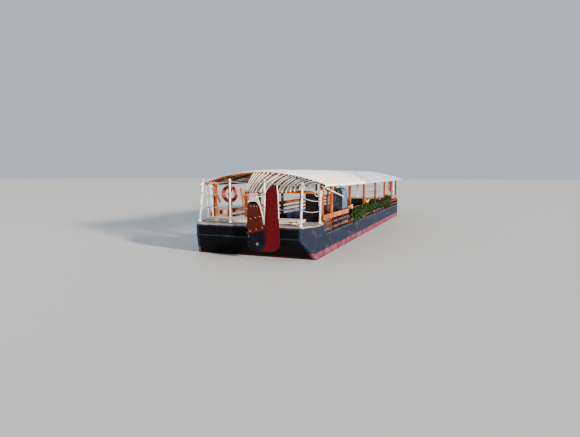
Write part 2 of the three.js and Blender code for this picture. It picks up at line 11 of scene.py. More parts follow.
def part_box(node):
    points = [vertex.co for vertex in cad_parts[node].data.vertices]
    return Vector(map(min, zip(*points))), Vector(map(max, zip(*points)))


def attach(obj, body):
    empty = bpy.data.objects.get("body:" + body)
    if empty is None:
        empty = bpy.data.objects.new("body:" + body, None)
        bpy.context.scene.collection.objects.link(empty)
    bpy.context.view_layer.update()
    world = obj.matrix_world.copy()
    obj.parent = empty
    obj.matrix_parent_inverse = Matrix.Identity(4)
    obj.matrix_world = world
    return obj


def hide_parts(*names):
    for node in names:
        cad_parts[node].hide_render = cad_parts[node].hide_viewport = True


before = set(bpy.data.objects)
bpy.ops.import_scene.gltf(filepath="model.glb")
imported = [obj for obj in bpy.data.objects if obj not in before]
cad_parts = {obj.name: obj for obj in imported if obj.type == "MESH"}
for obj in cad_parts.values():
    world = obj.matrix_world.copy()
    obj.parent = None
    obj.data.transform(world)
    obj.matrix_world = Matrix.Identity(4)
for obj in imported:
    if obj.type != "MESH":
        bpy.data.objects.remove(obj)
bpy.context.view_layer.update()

# Driving sizes. Distances called y run from the stern transom, and at() turns them into frame places.
LENGTH = 14.04
HALF_BEAM = 1.675
STERN_HALF_WIDTH = 1.43
KNUCKLE = 0.476
WALL = 0.06
WATERLINE = 0.40
HULL_TOP = 1.22
DECK_TOP = 1.26
GUNWALE = 0.941
FLOOR_TOP = 0.22
AFT_DECK = 1.29
FORE_DECK = 0.64
POST_STATIONS = [1.22, 2.08, 4.14, 6.20, 8.28, 10.34, 12.20, 13.50]
POST_OUT = 1.61
POST_WIDE = 0.065
POST_DEEP = 0.13
EAVE_BEAM_LOW = 2.20
EAVE_BEAM_HIGH = 2.28
CANOPY_HALF_WIDTH = 1.80
CANOPY_AFT = 0.82
CANOPY_FORE = 13.80
CANOPY_EAVE = 2.25
CANOPY_CROWN = 2.635
TIE_HIGH = 2.08
SIDES = {"starboard": 1, "port": -1}


def at(y):
    return y - LENGTH / 2


def point_at(x, y, z):
    return Vector((x, at(y), z))


def adjust(thing, **settings):
    """Sets any of a thing's attributes by name and gives the thing back."""
    for key, value in settings.items():
        setattr(thing, key, value)
    return thing


# Materials.
def tint(code):
    """A colour from six hexadecimal digits, as the shader's linear values."""
    parts = [int(code[i:i + 2], 16) / 255 for i in (0, 2, 4)]
    return (*[p / 12.92 if p < 0.04045 else ((p + 0.055) / 1.055) ** 2.4 for p in parts], 1.0)


def operator(operation, swapped=False):
    """A method that adds a Math node for two values, in their own or in swapped order."""
    def apply(self, other):
        first, second = (other, self) if swapped else (self, other)
        return self.recipe.node("ShaderNodeMath", {"operation": operation}, {0: first, 1: second})
    return apply


class Socket:
    """A value in a material that can be used in Python expressions."""

    def __init__(self, recipe, out):
        self.recipe = recipe
        self.out = out

    __add__ = operator("ADD")
    __radd__ = operator("ADD", True)
    __sub__ = operator("SUBTRACT")
    __rsub__ = operator("SUBTRACT", True)
    __mul__ = operator("MULTIPLY")
    __rmul__ = operator("MULTIPLY", True)


class Recipe:
    """One material: expressions on its sockets that end in a Principled surface."""

    def __init__(self, name, **fixed):
        self.material = bpy.data.materials.new(name)
        self.material.use_nodes = True
        self.nodes = self.material.node_tree.nodes
        self.links = self.material.node_tree.links
        self.surface = self.nodes["Principled BSDF"]
        for socket, value in fixed.items():
            self.surface.inputs[socket.replace("_", " ")].default_value = value
        self.place = self.node("ShaderNodeTexCoord", out="Object")

    def feed(self, socket, value):
        """Links a socket to an expression, or sets it to a number, a vector or a colour code."""
        if isinstance(value, Socket):
            self.links.new(value.out, socket)
        else:
            socket.default_value = tint(value) if isinstance(value, str) else value

    def node(self, kind, settings=None, inputs=None, out=0):
        made = adjust(self.nodes.new(kind), **(settings or {}))
        for key, value in (inputs or {}).items():
            self.feed(made.inputs[key], value)
        return Socket(self, made.outputs[out])

    def mix(self, factor, first, second):
        """Two colours mixed. The node takes them in sockets 6 and 7 and gives the result as output 2."""
        return self.node("ShaderNodeMix", {"data_type": "RGBA"}, {0: factor, 6: first, 7: second}, 2)

    def rise(self, value, low, high):
        """0 below low, 1 above high, and smooth between them."""
        return self.node("ShaderNodeMapRange", {"interpolation_type": "SMOOTHSTEP"},
                         {"Value": value, "From Min": low, "From Max": high})

    def stretched(self, scale, source=None):
        return self.node("ShaderNodeMapping", None, {"Vector": source or self.place, "Scale": scale})

    def clouds(self, scale, detail=4.0, source=None, rough=0.55, twist=0.0):
        return self.node("ShaderNodeTexNoise", None, {
            "Vector": source or self.place, "Scale": scale, "Detail": detail,
            "Roughness": rough, "Distortion": twist})

    def threads(self, direction):
        return self.node("ShaderNodeTexWave", {"bands_direction": direction},
                         {"Vector": self.place, "Scale": 180.0, "Distortion": 0.6})

    def along(self, axis):
        return self.node("ShaderNodeSeparateXYZ", None, {"Vector": self.place}, axis)

    def attribute(self, name, out="Fac"):
        return self.node("ShaderNodeAttribute", {"attribute_name": name}, out=out)

    def done(self, colour, rough=None, height=None, depth=None):
        self.feed(self.surface.inputs["Base Color"], colour)
        if rough:
            self.feed(self.surface.inputs["Roughness"], rough)
            bump = self.node("ShaderNodeBump", None, {"Height": height, "Distance": depth})
            self.feed(self.surface.inputs["Normal"], bump)
        return self.material


def hull_paint():
    """Slate paint with scuffs, rain runs and rust spots, and a faded red band at the waterline."""
    r = Recipe("hull_paint", Specular_IOR_Level=0.12)
    height = r.along("Z")
    patches = r.clouds(5.0, 8, rough=0.65)
    runs = r.clouds(1.0, 5, r.stretched((11, 11, 0.9)))
    specks = r.clouds(38.0, 3)
    slate = r.mix(r.clouds(0.8, 3), "080f1c", "111c30")
    slate = r.mix(r.rise(patches, 0.48, 0.75) * 0.6, slate, "26395a")
    slate = r.mix(r.rise(runs, 0.56, 0.8) * 0.45, slate, "0d121b")
    faded = r.mix(r.rise(patches, 0.35, 0.7), "4f1b2c", "74405a")
    faded = r.mix(r.rise(runs, 0.55, 0.75) * 0.5, faded, "4a1c22")
    band_top = (patches - 0.5) * 0.012 + (WATERLINE + 0.171)
    above = r.rise(height - band_top, -0.003, 0.003)
    paint = r.mix(above, faded, slate)
    # Darker just above the waterline.
    near_waterline = 1.0 - r.rise(height + patches * 0.04, WATERLINE + 0.02, WATERLINE + 0.07)
    paint = r.mix(near_waterline * 0.7, paint, "1a0f10")
    rust = r.rise(specks * patches, 0.35, 0.375)
    paint = r.mix(rust * above * 0.7, paint, "45261c")
    chalk = r.rise(r.clouds(3.1, 9, rough=0.75, twist=0.8), 0.6, 0.66)
    paint = r.mix(chalk * above * 0.35, paint, "7c8a9c")
    return r.done(paint, 0.42 + patches * 0.3 + rust * 0.3, patches * 0.6 + specks * 0.4, 0.0012)


def pitch_paint(name, colour, band=None):
    """Near-black bottom paint, with an optional red-brown band just above the waterline."""
    r = Recipe(name, Specular_IOR_Level=0.06)
    patches = r.clouds(4.0, 7, rough=0.6)
    runs = r.clouds(1.0, 4, r.stretched((9, 9, 1.1)))
    paint = r.mix(r.rise(patches, 0.4, 0.75) * 0.6, colour, "0b0b0f")
    paint = r.mix(r.rise(runs, 0.58, 0.8) * 0.35, paint, "020203")
    if band:
        wobble = r.along("Z") + patches * 0.02
        above = r.rise(wobble, WATERLINE + band - 0.004, WATERLINE + band + 0.004)
        paint = r.mix(1.0 - above, paint, "2e0c0a")
    return r.done(paint, 0.5 + patches * 0.3, patches, 0.001)


def flat_paint(name, colour, worn, amount=0.5, scale=6.0, gloss=0.45, shine=0.35):
    """Brushed paint that has faded in patches and rubbed through at random spots."""
    r = Recipe(name, Specular_IOR_Level=shine)
    patches = r.clouds(scale, 7, rough=0.62)
    fine = r.clouds(scale * 14, 4)
    paint = r.mix(r.rise(patches, 0.42, 0.78) * amount, colour, worn)
    paint = r.mix(r.rise(fine * patches, 0.34, 0.4) * 0.6, paint, worn)
    return r.done(paint, gloss + patches * 0.25, fine * 0.4 + patches * 0.6, 0.0008)


def sawn_wood(name, base, dark, pale, wear=0.5, gloss=0.6):
    """Boards with grain along their own length, each in its own shade, greyed where worn."""
    r = Recipe(name, Specular_IOR_Level=0.15)
    grain = r.attribute("grain", "Vector")
    rings = r.clouds(1.0, 5, r.stretched((1.1, 26, 26), grain), twist=0.6)
    fibres = r.clouds(1.0, 3, r.stretched((5, 240, 240), grain))
    worn = r.clouds(3.2, 7, rough=0.7)
    wood = r.mix(r.rise(rings, 0.3, 0.7), base, dark)
    wood = r.mix(r.attribute("shade"), wood, base)
    wood = r.mix(r.rise(worn + fibres * 0.25, 0.56, 0.82) * wear, wood, pale)
    wood = r.mix(r.rise(fibres, 0.55, 0.85) * 0.35, wood, dark)
    return r.done(wood, gloss + fibres * 0.3, fibres * 0.5 + rings * 0.5, 0.0015)


def canvas_cloth(name, light, shade, grime, fold_shade_colour=None, forward_shade_colour=None):
    """Woven cotton duck with stains and rain marks, with painted shade in its pleat valleys or a painted
    blue-grey shade forward.
    """
    r = Recipe(name, Sheen_Weight=0.15)
    stains = r.clouds(1.6, 6, rough=0.6)
    streaks = r.clouds(1.0, 4, r.stretched((2.0, 7.0, 7.0)))
    weave = r.threads("X") * 0.5 + r.threads("Y") * 0.5
    cloth = r.mix(r.rise(stains, 0.35, 0.75) * 0.6, light, shade)
    cloth = r.mix(r.rise(streaks, 0.6, 0.85) * 0.35, cloth, grime)
    cloth = r.mix(weave * 0.08, cloth, grime)
    if fold_shade_colour:
        # Painted shade: the pleat valleys are darkened towards slate blue by the amount that make_curtain
        # stores on each corner.
        cloth = r.mix(r.attribute("fold_shade"), cloth, fold_shade_colour)
    if forward_shade_colour:
        # Painted shade: a blue-grey wash over the forward canopy. It is held off the creases, which stay
        # light as painted highlights.
        forward = r.along("Y") + r.along("X") * 0.65 + stains * 0.6
        smooth = 1.0 - r.attribute("crease_light") * 0.75
        cloth = r.mix(r.rise(forward, at(6.3), at(7.4)) * smooth * 0.92, cloth, forward_shade_colour)
        mossy = 1.0 - r.rise(r.along("Y") + stains * 0.8, at(1.5), at(3.4))
        cloth = r.mix(mossy * r.rise(r.along("Z"), 2.50, 2.62) * 0.4, cloth, grime)
    return r.done(cloth, 0.82 + stains * 0.1, weave * 0.5 + stains * 0.5, 0.0008)


def worn_zinc():
    r = Recipe("worn_zinc", Metallic=0.85)
    spangle = r.node("ShaderNodeTexVoronoi", None, {"Vector": r.place, "Scale": 55.0}, "Distance")
    patches = r.clouds(14.0, 6)
    zinc = r.mix(spangle, "6c7073", "9a9d9f")
    zinc = r.mix(r.rise(patches, 0.55, 0.75), zinc, "6b4a35")
    return r.done(zinc, 0.35 + patches * 0.3, patches, 0.0006)


def laid_rope(name, colour, dirt):
    r = Recipe(name)
    rope = r.mix(r.rise(r.clouds(9.0, 6), 0.4, 0.75) * 0.6, colour, dirt)
    return r.done(rope, 0.85, r.clouds(420.0, 2), 0.0006)


def leaf_green(name, dark, light, tip):
    """Leaves or petals, each in its own shade between two colours."""
    r = Recipe(name, Specular_IOR_Level=0.15)
    broad = r.clouds(7.0, 4)
    leaf = r.mix(r.attribute("shade"), dark, light)
    leaf = r.mix(r.rise(broad, 0.5, 0.75) * 0.5, leaf, tip)
    return r.done(leaf, 0.55, broad, 0.0005)


HULL = hull_paint()
BOTTOM = pitch_paint("bottom_paint", "060608")
STERN_PAINT = pitch_paint("stern_paint", "040406", band=0.055)
BORDER = flat_paint("border_paint", "10182a", "283450", 0.6, shine=0.15)
CAP = flat_paint("cap_paint", "202c42", "5a6a86", 0.5, shine=0.2)
NAVY = flat_paint("navy_paint", "04070e", "0e1625", 0.45, shine=0.1)
BLADE_RED = flat_paint("blade_paint", "480008", "2c0004", 0.8, 7.0, 0.5, 0.12)
RING_RED = flat_paint("ring_skin", "96060a", "b41a14", 0.5, 9.0, 0.5, 0.2)
RING_BAND = flat_paint("ring_band", "1e0304", "3a0808", 0.5, 9.0, 0.6, 0.2)
LOCKER_BLUE = flat_paint("locker_paint", "3f5474", "7086a4", 0.5)
TUBE_WHITE = flat_paint("tube_paint", "dcdcdc", "a4a09c", 0.5, 9.0, 0.4)
POLE_VARNISH = flat_paint("pole_varnish", "eadfbe", "c4aa72", 0.4, 4.0, 0.35)
POLE_TIP_PAINT = flat_paint("pole_tip_paint", "e9dcc0", "c98d52")
ORANGE_WOOD = sawn_wood("orange_wood", "96400f", "401404", "b87c4a", 0.6)
# One rail wood in two copies: the top plank's brighter copy is painted sunlight, and the lower planks'
# darker copy is painted shade.
SUNLIT_RAIL_WOOD = sawn_wood("rail_wood_painted_sunlit", "9a4a1c", "3c1406", "c08a66", 0.8)
SHADED_RAIL_WOOD = sawn_wood("rail_wood_painted_shade", "421d14", "180a07", "70544f", 0.85)
# The spacer blocks behind the rail planks are near black as painted shade.
SHADED_SPACER_WOOD = sawn_wood("spacer_wood_painted_shade", "1d0d08", "0b0504", "3a2018", 0.6)
POST_WOOD = sawn_wood("post_wood", "7c3c18", "300f05", "a87650", 0.5)
RUST_BOARD = sawn_wood("rust_board", "400c01", "260500", "4e1809", 0.35, 0.6)
DECK_WOOD = sawn_wood("deck_wood", "7c7274", "443c3e", "b0a6aa", 0.8, 0.75)
PLATFORM_WOOD = sawn_wood("platform_wood", "c0b6ac", "887c74", "e0dad4", 0.6, 0.75)
LOCKER_BOARD = sawn_wood("locker_board", "242838", "0e1018", "5a6076", 0.7, 0.7)
FLOOR_WOOD = sawn_wood("floor_wood", "1f1a16", "100d0a", "302a23", 0.6, 0.8)
BOX_WOOD = sawn_wood("box_wood", "161b13", "0a0d09", "2c3226", 0.4, 0.8)
INNER_BOARD = sawn_wood("inner_board", "09090c", "050507", "17181c", 0.4, 0.7)
# The canopy's blue-grey forward colour is painted shade.
CANVAS = canvas_cloth("canvas", "fbf9f6", "efeeec", "c2b091", forward_shade_colour="93a9cb")
# The curtain's slate-blue colour is painted shade for the valleys between its pleats.
CURTAIN_CANVAS = canvas_cloth("curtain_canvas", "fffaf0", "f8eedd", "d6c9b2", fold_shade_colour="2c3a55")
ZINC = worn_zinc()
# The rail rope is white rope greyed to blue as painted shade.
SHADED_ROPE = laid_rope("rail_rope_painted_shade", "8a93a6", "5c6274")
LASHING = laid_rope("lashing_rope", "dcd5c4", "8f8473")
LEAVES = leaf_green("leaves", "081507", "22440f", "3f6424")
PETALS_PINK = leaf_green("petals_pink", "b8496d", "e9b6c4", "f3dfe4")
PETALS_MAGENTA = leaf_green("petals_magenta", "8e1746", "c43b74", "d76c98")
PETALS_YELLOW = leaf_green("petals_yellow", "e0a106", "f5c822", "f8d95a")
PETALS_ORANGE = leaf_green("petals_orange", "b34a0c", "e07a1e", "e89236")
PETALS_WHITE = leaf_green("petals_white", "b9c2b4", "e6e9e2", "f4f4f0")


# Making and placing pieces.
def link(name, data):
    made = bpy.data.objects.new(name, data)
    bpy.context.scene.collection.objects.link(made)
    return made


def mesh_object(name, bm, material):
    mesh = bpy.data.meshes.new(name)
    bm.to_mesh(mesh)
    bm.free()
    mesh.materials.append(material)
    return link(name, mesh)


def place(name, bm, material, replaces=(), body="barge", smooth=True):
    """A finished mesh as one piece on a body of the part, standing for the nodes in replaces."""
    piece = mesh_object(name, bm, material)
    if smooth:
        piece.data.shade_smooth()
    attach(piece, body)
    if replaces:
        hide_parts(*replaces)
    return piece


WELD_DISTANCE = 0.0001
BEVEL_ANGLE = 32


def modify(piece, kind, **settings):
    adjust(piece.modifiers.new(kind.lower(), kind), **settings)


def soften(piece, width, segments=2, weld=False):
    """Rounds a piece's hard edges. A node's loose triangles are welded first."""
    if weld:
        modify(piece, "WELD", merge_threshold=WELD_DISTANCE)
    modify(piece, "BEVEL", width=width, segments=segments, limit_method="ANGLE",
           angle_limit=radians(BEVEL_ANGLE))


def dress(node, material, edge, segments=2):
    """Gives a node of the part its finish and softened edges."""
    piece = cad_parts[node]
    piece.data.materials.clear()
    piece.data.materials.append(material)
    if edge:
        soften(piece, edge, segments, weld=True)


def extrude(bm, outline, depth):
    """A closed block of any outline in X and Y, from Z 0 to depth. Returns its corners."""
    face = bm.faces.new([bm.verts.new((x, y, 0)) for x, y in outline])
    made = bmesh.ops.extrude_face_region(bm, geom=[face])["geom"]
    top = [g for g in made if isinstance(g, bmesh.types.BMVert)]
    bmesh.ops.translate(bm, vec=(0, 0, depth), verts=top)
    return list(face.verts) + top


class Boards:
    """Sawn boards that make one piece. Each keeps its own grain direction and shade."""

    ORDER = {"x": (0, 1, 2), "y": (1, 0, 2), "z": (2, 0, 1)}

    def __init__(self, seed):
        self.bm = bmesh.new()
        self.grain = self.bm.verts.layers.float_vector.new("grain")
        self.shade = self.bm.verts.layers.float.new("shade")
        self.random = random.Random(seed)

    def mark(self, verts, along):
        """Stores where each corner lies along the grain, before the board is turned."""
        shift = Vector([self.random.uniform(0, 30) for _ in range(3)])
        shade = self.random.random()
        for v in verts:
            v[self.grain] = Vector([v.co[i] for i in self.ORDER[along]]) + shift
            v[self.shade] = shade

    def add(self, xs, ys, zs, along="y", turn=None):
        """One board between two limits on each axis. turn moves it afterwards."""
        low, high = [Vector(corner) for corner in zip(xs, ys, zs)]
        verts = bmesh.ops.create_cube(self.bm, size=1.0)["verts"]
        bmesh.ops.scale(self.bm, vec=high - low, verts=verts)
        self.mark(verts, along)
        bmesh.ops.translate(self.bm, vec=(low + high) / 2, verts=verts)
        if turn:
            bmesh.ops.transform(self.bm, matrix=turn, verts=verts)
        return verts

    def row(self, xs, zs, cuts, gap=0.002):
        """Boards end to end along Y, between neighbouring cuts."""
        for a, b in pairwise(cuts):
            self.add(xs, (a + gap, b - gap), zs)

    def shaped(self, outline, depth, along, turn):
        """A board of any outline in its own X and Y, then placed by turn."""
        verts = extrude(self.bm, outline, depth)
        self.mark(verts, along)
        bmesh.ops.transform(self.bm, matrix=turn, verts=verts)

    def piece(self, name, material, slot, replaces=(), body="barge", edge=0.003):
        bmesh.ops.recalc_face_normals(self.bm, faces=self.bm.faces)
        soften(place(name, self.bm, material, replaces, body, smooth=False), edge)


def boards_for(node, seed):
    """New boards that will stand for a node, and the node's two limits in X, in Y and in Z."""
    return Boards(seed), *zip(*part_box(node))


def equal_parts(limits, count, gap=0.0):
    """The limits of equal parts of a stretch, with a gap left at both ends of each."""
    low, high = limits
    width = (high - low) / count
    return [(low + i * width + gap, low + (i + 1) * width - gap) for i in range(count)]


def shares(steps):
    """Even steps from 0 to 1, with both ends."""
    return [i / steps for i in range(steps + 1)]


def polar(radius, angle):
    return radius * cos(angle), radius * sin(angle)


def sweep(bm, path, section):
    """Carries a section along a path of points. section(i) gives ring i's points."""
    rings = []
    for i, point in enumerate(path):
        forward = (path[min(i + 1, len(path) - 1)] - path[max(i - 1, 0)]).normalized()
        side = forward.cross(Vector((0, 0, 1)))
        if side.length < 0.05:
            side = forward.cross(Vector((0, 1, 0)))
        side.normalize()
        up = side.cross(forward)
        rings.append([bm.verts.new(point + side * a + up * b) for a, b in section(i)])
    for first, second in pairwise(rings):
        for k in range(len(first)):
            n = (k + 1) % len(first)
            bm.faces.new((first[k], first[n], second[n], second[k]))
    bm.faces.new(list(reversed(rings[0])))
    bm.faces.new(rings[-1])


def resample(points, step):
    """Even points along a polyline."""
    lengths = [0.0]
    for a, b in pairwise(points):
        lengths.append(lengths[-1] + (b - a).length)
    count = max(2, round(lengths[-1] / step))
    even = []
    k = 0
    for share in shares(count):
        want = lengths[-1] * share
        while k < len(points) - 2 and lengths[k + 1] < want:
            k += 1
        part = (want - lengths[k]) / max(1e-9, lengths[k + 1] - lengths[k])
        even.append(points[k].lerp(points[k + 1], min(1.0, part)))
    return even


STRANDS = 3
STRAND_SIDES = 6
RINGS_A_TURN = 6
# Steps in each turn of a lashing.
WIND_STEPS = 14


def lay_rope(bm, points, radius):
    """A rope of strands that wind round the line of points, once in seven radii."""
    path = resample(points, radius * 7 / RINGS_A_TURN)
    ring = [polar(radius * 0.54, tau * k / STRAND_SIDES) for k in range(STRAND_SIDES)]
    for strand in range(STRANDS):
        def section(i, strand=strand):
            a, b = polar(0.48 * radius, tau * (i / RINGS_A_TURN + strand / STRANDS))
            return [(a + c, b + d) for c, d in ring]
        sweep(bm, path, section)


def rounded(points, passes=3):
    """The same line of points with its corners cut round."""
    for _ in range(passes):
        cut = [points[0]]
        for a, b in pairwise(points):
            cut += [a.lerp(b, 0.25), a.lerp(b, 0.75)]
        points = [*cut, points[-1]]
    return points


def lay_flat(bm, origin, bends, radius):
    """A rope in the upright plane across the boat, bent through X and Z offsets from a place."""
    lay_rope(bm, rounded([origin + Vector((x, 0, z)) for x, z in bends]), radius)


def hang(start, end, drop, steps=16):
    """Points of a rope that sags between two places."""
    points = []
    for t in shares(steps):
        point = start.lerp(end, t)
        point.z -= drop * 4 * t * (1 - t)
        points.append(point)
    return points


def wind(centre, radius, turns, rise, axis="z"):
    """Points of a lashing that winds round a bar."""
    points = []
    for t in shares(round(turns * WIND_STEPS)):
        a, b = polar(radius, tau * turns * t)
        along = rise * (t - 0.5)
        points.append(centre + Vector((a, b, along) if axis == "z" else (a, along, b)))
    return points


def place_lashing(name, bm, body="barge"):
    place(name, bm, LASHING, body=body)


def facing_out(axis):
    """The turn that takes Z to an axis."""
    return Vector(axis).to_track_quat("Z", "Y").to_matrix().to_4x4()


def turned_at(origin, angle, axis="X"):
    """A turn in degrees about an axis, that is then moved to a place."""
    return Matrix.Translation(origin) @ Matrix.Rotation(radians(angle), 4, axis)


def round_bar(bm, start, end, radius, sides=16, tip=None):
    """A turned bar between two points. It tapers if tip gives its far radius."""
    run = end - start
    bmesh.ops.create_cone(bm, cap_ends=True, segments=sides, radius1=radius,
                          radius2=radius if tip is None else tip, depth=run.length,
                          matrix=Matrix.Translation((start + end) / 2) @ facing_out(run))


def bolt_head(bm, centre, axis, radius=0.008, high=0.006):
    """A domed bolt head on a washer, standing out along axis."""
    base = Matrix.Translation(centre) @ facing_out(axis)
    bmesh.ops.create_cone(bm, cap_ends=True, segments=16, radius1=radius * 1.5, radius2=radius * 1.45,
                          depth=high * 0.3, matrix=base @ Matrix.Translation((0, 0, high * 0.15)))
    dome = bmesh.ops.create_uvsphere(bm, u_segments=14, v_segments=8, radius=radius)["verts"]
    bmesh.ops.scale(bm, vec=(1, 1, high / radius * 0.9), verts=dome)
    bmesh.ops.transform(bm, matrix=base @ Matrix.Translation((0, 0, high * 0.2)), verts=dome)


# Camera, light and floor.
CAMERA_PLACE = (5.205, -17.300, 2.542)
CAMERA_YAW = 21.43
CAMERA_PITCH = 5.60
FOCAL_PIXELS = 465.4
PICTURE_WIDTH = 580
SENSOR = 36.0
LIGHT_AIM = Vector((0, 0, 1))


def make_camera():
    data = adjust(bpy.data.cameras.new("camera"), sensor_width=SENSOR, clip_end=400,
                  lens=SENSOR * FOCAL_PIXELS / PICTURE_WIDTH)
    turn = (radians(90 - CAMERA_PITCH), 0, radians(CAMERA_YAW))
    bpy.context.scene.camera = adjust(link("camera", data), location=CAMERA_PLACE, rotation_euler=turn)


def light(kind, name, colour, power, location, **shape):
    data = adjust(bpy.data.lights.new(name, kind), color=colour, energy=power, **shape)
    turn = (LIGHT_AIM - Vector(location)).to_track_quat("-Z", "Y").to_euler()
    adjust(link(name, data), location=location, rotation_euler=turn)


def make_light():
    """A low, warm key from starboard and a little aft, under a cool even sky."""
    world = bpy.data.worlds.new("studio")
    world.use_nodes = True
    back = world.node_tree.nodes["Background"]
    back.inputs["Color"].default_value = (0.76, 0.87, 1.0, 1.0)
    back.inputs["Strength"].default_value = 0.7
    bpy.context.scene.world = world
    light("SUN", "key", (1.0, 0.83, 0.64), 13.5, (26, -10.5, 7.1), angle=radians(4))
    light("AREA", "fill", (0.80, 0.88, 1.0), 1500, (-16, -18, 12), shape="DISK", size=14)


def make_floor():
    bm = bmesh.new()
    bmesh.ops.create_grid(bm, x_segments=2, y_segments=2, size=150)
    floor = mesh_object("studio_floor", bm, Recipe("studio_floor", Roughness=0.55).done("bfc2c4"))
    floor.location.z = WATERLINE


# Hull.
def make_hull():
    for side in SIDES:
        dress(f"hull_side_{side}", HULL, 0.006)
        dress(f"gunwale_cap_{side}", CAP, 0.006)
    dress("hull_bottom", BOTTOM, 0)
    dress("hull_stern", STERN_PAINT, 0.006)
    dress("hull_bow", STERN_PAINT, 0.006)
    dress("nameboard_border", BORDER, 0.004)


def half_width(y):
    """Half the hull's width at a distance from its end."""
    return min(HALF_BEAM, STERN_HALF_WIDTH + (HALF_BEAM - STERN_HALF_WIDTH) * y / KNUCKLE)


AFT_BOARD_EDGES = [0, 0.119, 0.238, 0.357, 0.476, 0.618, 0.76, 0.902, 1.039, 1.165, AFT_DECK]
FORE_BOARD_EDGES = [0, 0.119, 0.238, 0.357, 0.476, 0.556, FORE_DECK]
BOARD_GAP = 0.003
# How far a board stands clear of the piece that carries it.
CLEAR = 0.001


def deck_boards(name, edges, step_end, bow_end, seed):
    """Boards laid across, with ends that stand a little proud of the hull's top."""
    boards = Boards(seed)
    for near, far in pairwise(edges):
        lift = boards.random.uniform(-0.002, 0.002)
        proud = [boards.random.uniform(0.004, 0.022) for _ in range(2)]
        verts = boards.add((-1, 1), (near + BOARD_GAP, far - BOARD_GAP),
                           (HULL_TOP + CLEAR, DECK_TOP + lift), "x")
        for v in verts:
            side = 1 if v.co.x > 0 else -1
            reach = half_width(v.co.y) + proud[(side + 1) // 2]
            if far > step_end:
                reach = HALF_BEAM - WALL - 0.002
            v.co.x = side * reach
            v.co.y = -at(v.co.y) if bow_end else at(v.co.y)
    boards.piece(name + "_boards", DECK_WOOD, "deck_boards", [name], edge=0.005)


def make_floor_boards():
    boards, xs, (aft, fore), (_, top) = boards_for("floor", 11)
    for strip in equal_parts(xs, 24, 0.002):
        first, second = boards.random.uniform(2.5, 5.5), boards.random.uniform(2.5, 5.0)
        boards.row(strip, (top - 0.04, top), [aft, aft + first, fore - second, fore])
    boards.piece("floor_boards", FLOOR_WOOD, "floor_boards", ["floor"])


def make_platform():
    """The raised platform: boards across on three bearers, with a board along its edge."""
    boards, (x0, x1), (y0, y1), (low, high) = boards_for("stern_platform", 12)
    for strip in equal_parts((y0, y1), 6, BOARD_GAP):
        boards.add((x0, x1), strip, (high - 0.03, high), "x")
    under = (low, high - 0.03 - CLEAR)
    for x in (x0 + 0.02, (x0 + x1) / 2, x1 - 0.08):
        boards.add((x, x + 0.06), (y0 + 0.01, y1 - 0.01), under)
    boards.add((x0 + 0.01, x1 - 0.01), (y0 + 0.005, y0 + 0.03), under, "x")
    boards.piece("platform_boards", PLATFORM_WOOD, "deck_boards", ["stern_platform"], edge=0.005)


def make_bulkheads():
    """Upright tongue-and-groove boards across the well's ends."""
    for node in ("aft_bulkhead", "fore_bulkhead"):
        boards, xs, ys, zs = boards_for(node, 13)
        for strip in equal_parts(xs, 26, 0.0015):
            boards.add(strip, ys, zs, "z")
        boards.piece(node + "_boards", INNER_BOARD, "dark_paint", [node])


# Height of each tread above the floor, and how far its front edge lies from the bulkhead.
STEPS = [(0.800, 0.300), (0.530, 0.600), (0.260, 0.900)]
TREAD = 0.035


def make_steps():
    """Open steps down into the well, between two strings."""
    boards, (x0, x1), (aft, _), _ = boards_for("companion_steps", 14)
    for rise, run in STEPS:
        top = FLOOR_TOP + rise
        under = (FLOOR_TOP + CLEAR, top - TREAD - CLEAR)
        start, end = aft + run - 0.3, aft + run
        boards.add((x0, x1), (start, end), (top - TREAD, top), "x")
        boards.add((x0 + 0.03, x1 - 0.03), (end - 0.05, end - 0.028), under, "z")
        for x in (x0, x1 - 0.035):
            boards.add((x, x + 0.035), (start, end - 0.03), under, "z")
    boards.piece("steps_boards", POST_WOOD, "stained_wood", ["companion_steps"])


# Rails, posts and benches.
RAIL_PLANKS = [(1.33, 1.46), (1.192, 1.257), (1.043, 1.108)]
RAIL_PLANK = 0.03
RAIL_START = 1.075
RAIL_END = LENGTH - 0.645
RAIL_JOINTS = [4.14, 6.20, 8.28, 10.34]
ROOF_JOINTS = [4.14, 8.28, 12.20]


def span(sign, inner, outer):
    """The two X limits of a piece on one side, in order."""
    return sorted((sign * inner, sign * outer))


def cuts_at(*stations):
    return [at(y) for y in stations]


def make_rails(side, sign):
    top_boards = Boards(25 + sign)
    low_boards = Boards(20 + sign)
    spacers = Boards(27 + sign)
    bolts = bmesh.new()
    for low, high in RAIL_PLANKS:
        # Top planks take the painted sunlit copy of the wood, and lower planks the painted shaded copy.
        boards = top_boards if low > DECK_TOP else low_boards
        start = RAIL_START + (0.17 if low < HULL_TOP else 0)
        boards.row(span(sign, HALF_BEAM - RAIL_PLANK, HALF_BEAM), (low, high),
                   cuts_at(start, *RAIL_JOINTS, RAIL_END))
        for y in POST_STATIONS[:-1]:
            for share in (0.3, 0.7):
                rise = (high - low) * share
                if y > start:
                    spot = point_at(sign * HALF_BEAM, y + rise * 0.4 - 0.01, low + rise)
                    bolt_head(bolts, spot, (sign, 0, 0))
    stations = [POST_STATIONS[0] + 0.02, *POST_STATIONS[1:-1], RAIL_END - 0.05]
    for y in stations:
        foot = DECK_TOP + 0.005 if y in (stations[0], stations[-1]) else GUNWALE + 0.029
        spacers.add(span(sign, POST_OUT + CLEAR, HALF_BEAM - RAIL_PLANK), (at(y - 0.045), at(y + 0.045)),
                    (foot, RAIL_PLANKS[0][1] - 0.01), "z")
    top_boards.piece(f"top_rail_{side}", SUNLIT_RAIL_WOOD, "stained_wood", edge=0.004)
    low_boards.piece(f"low_rails_{side}", SHADED_RAIL_WOOD, "stained_wood", [f"side_rail_{side}"], edge=0.004)
    spacers.piece(f"rail_spacers_{side}", SHADED_SPACER_WOOD, "stained_wood", edge=0.004)
    place(f"rail_bolts_{side}", bolts, ZINC)


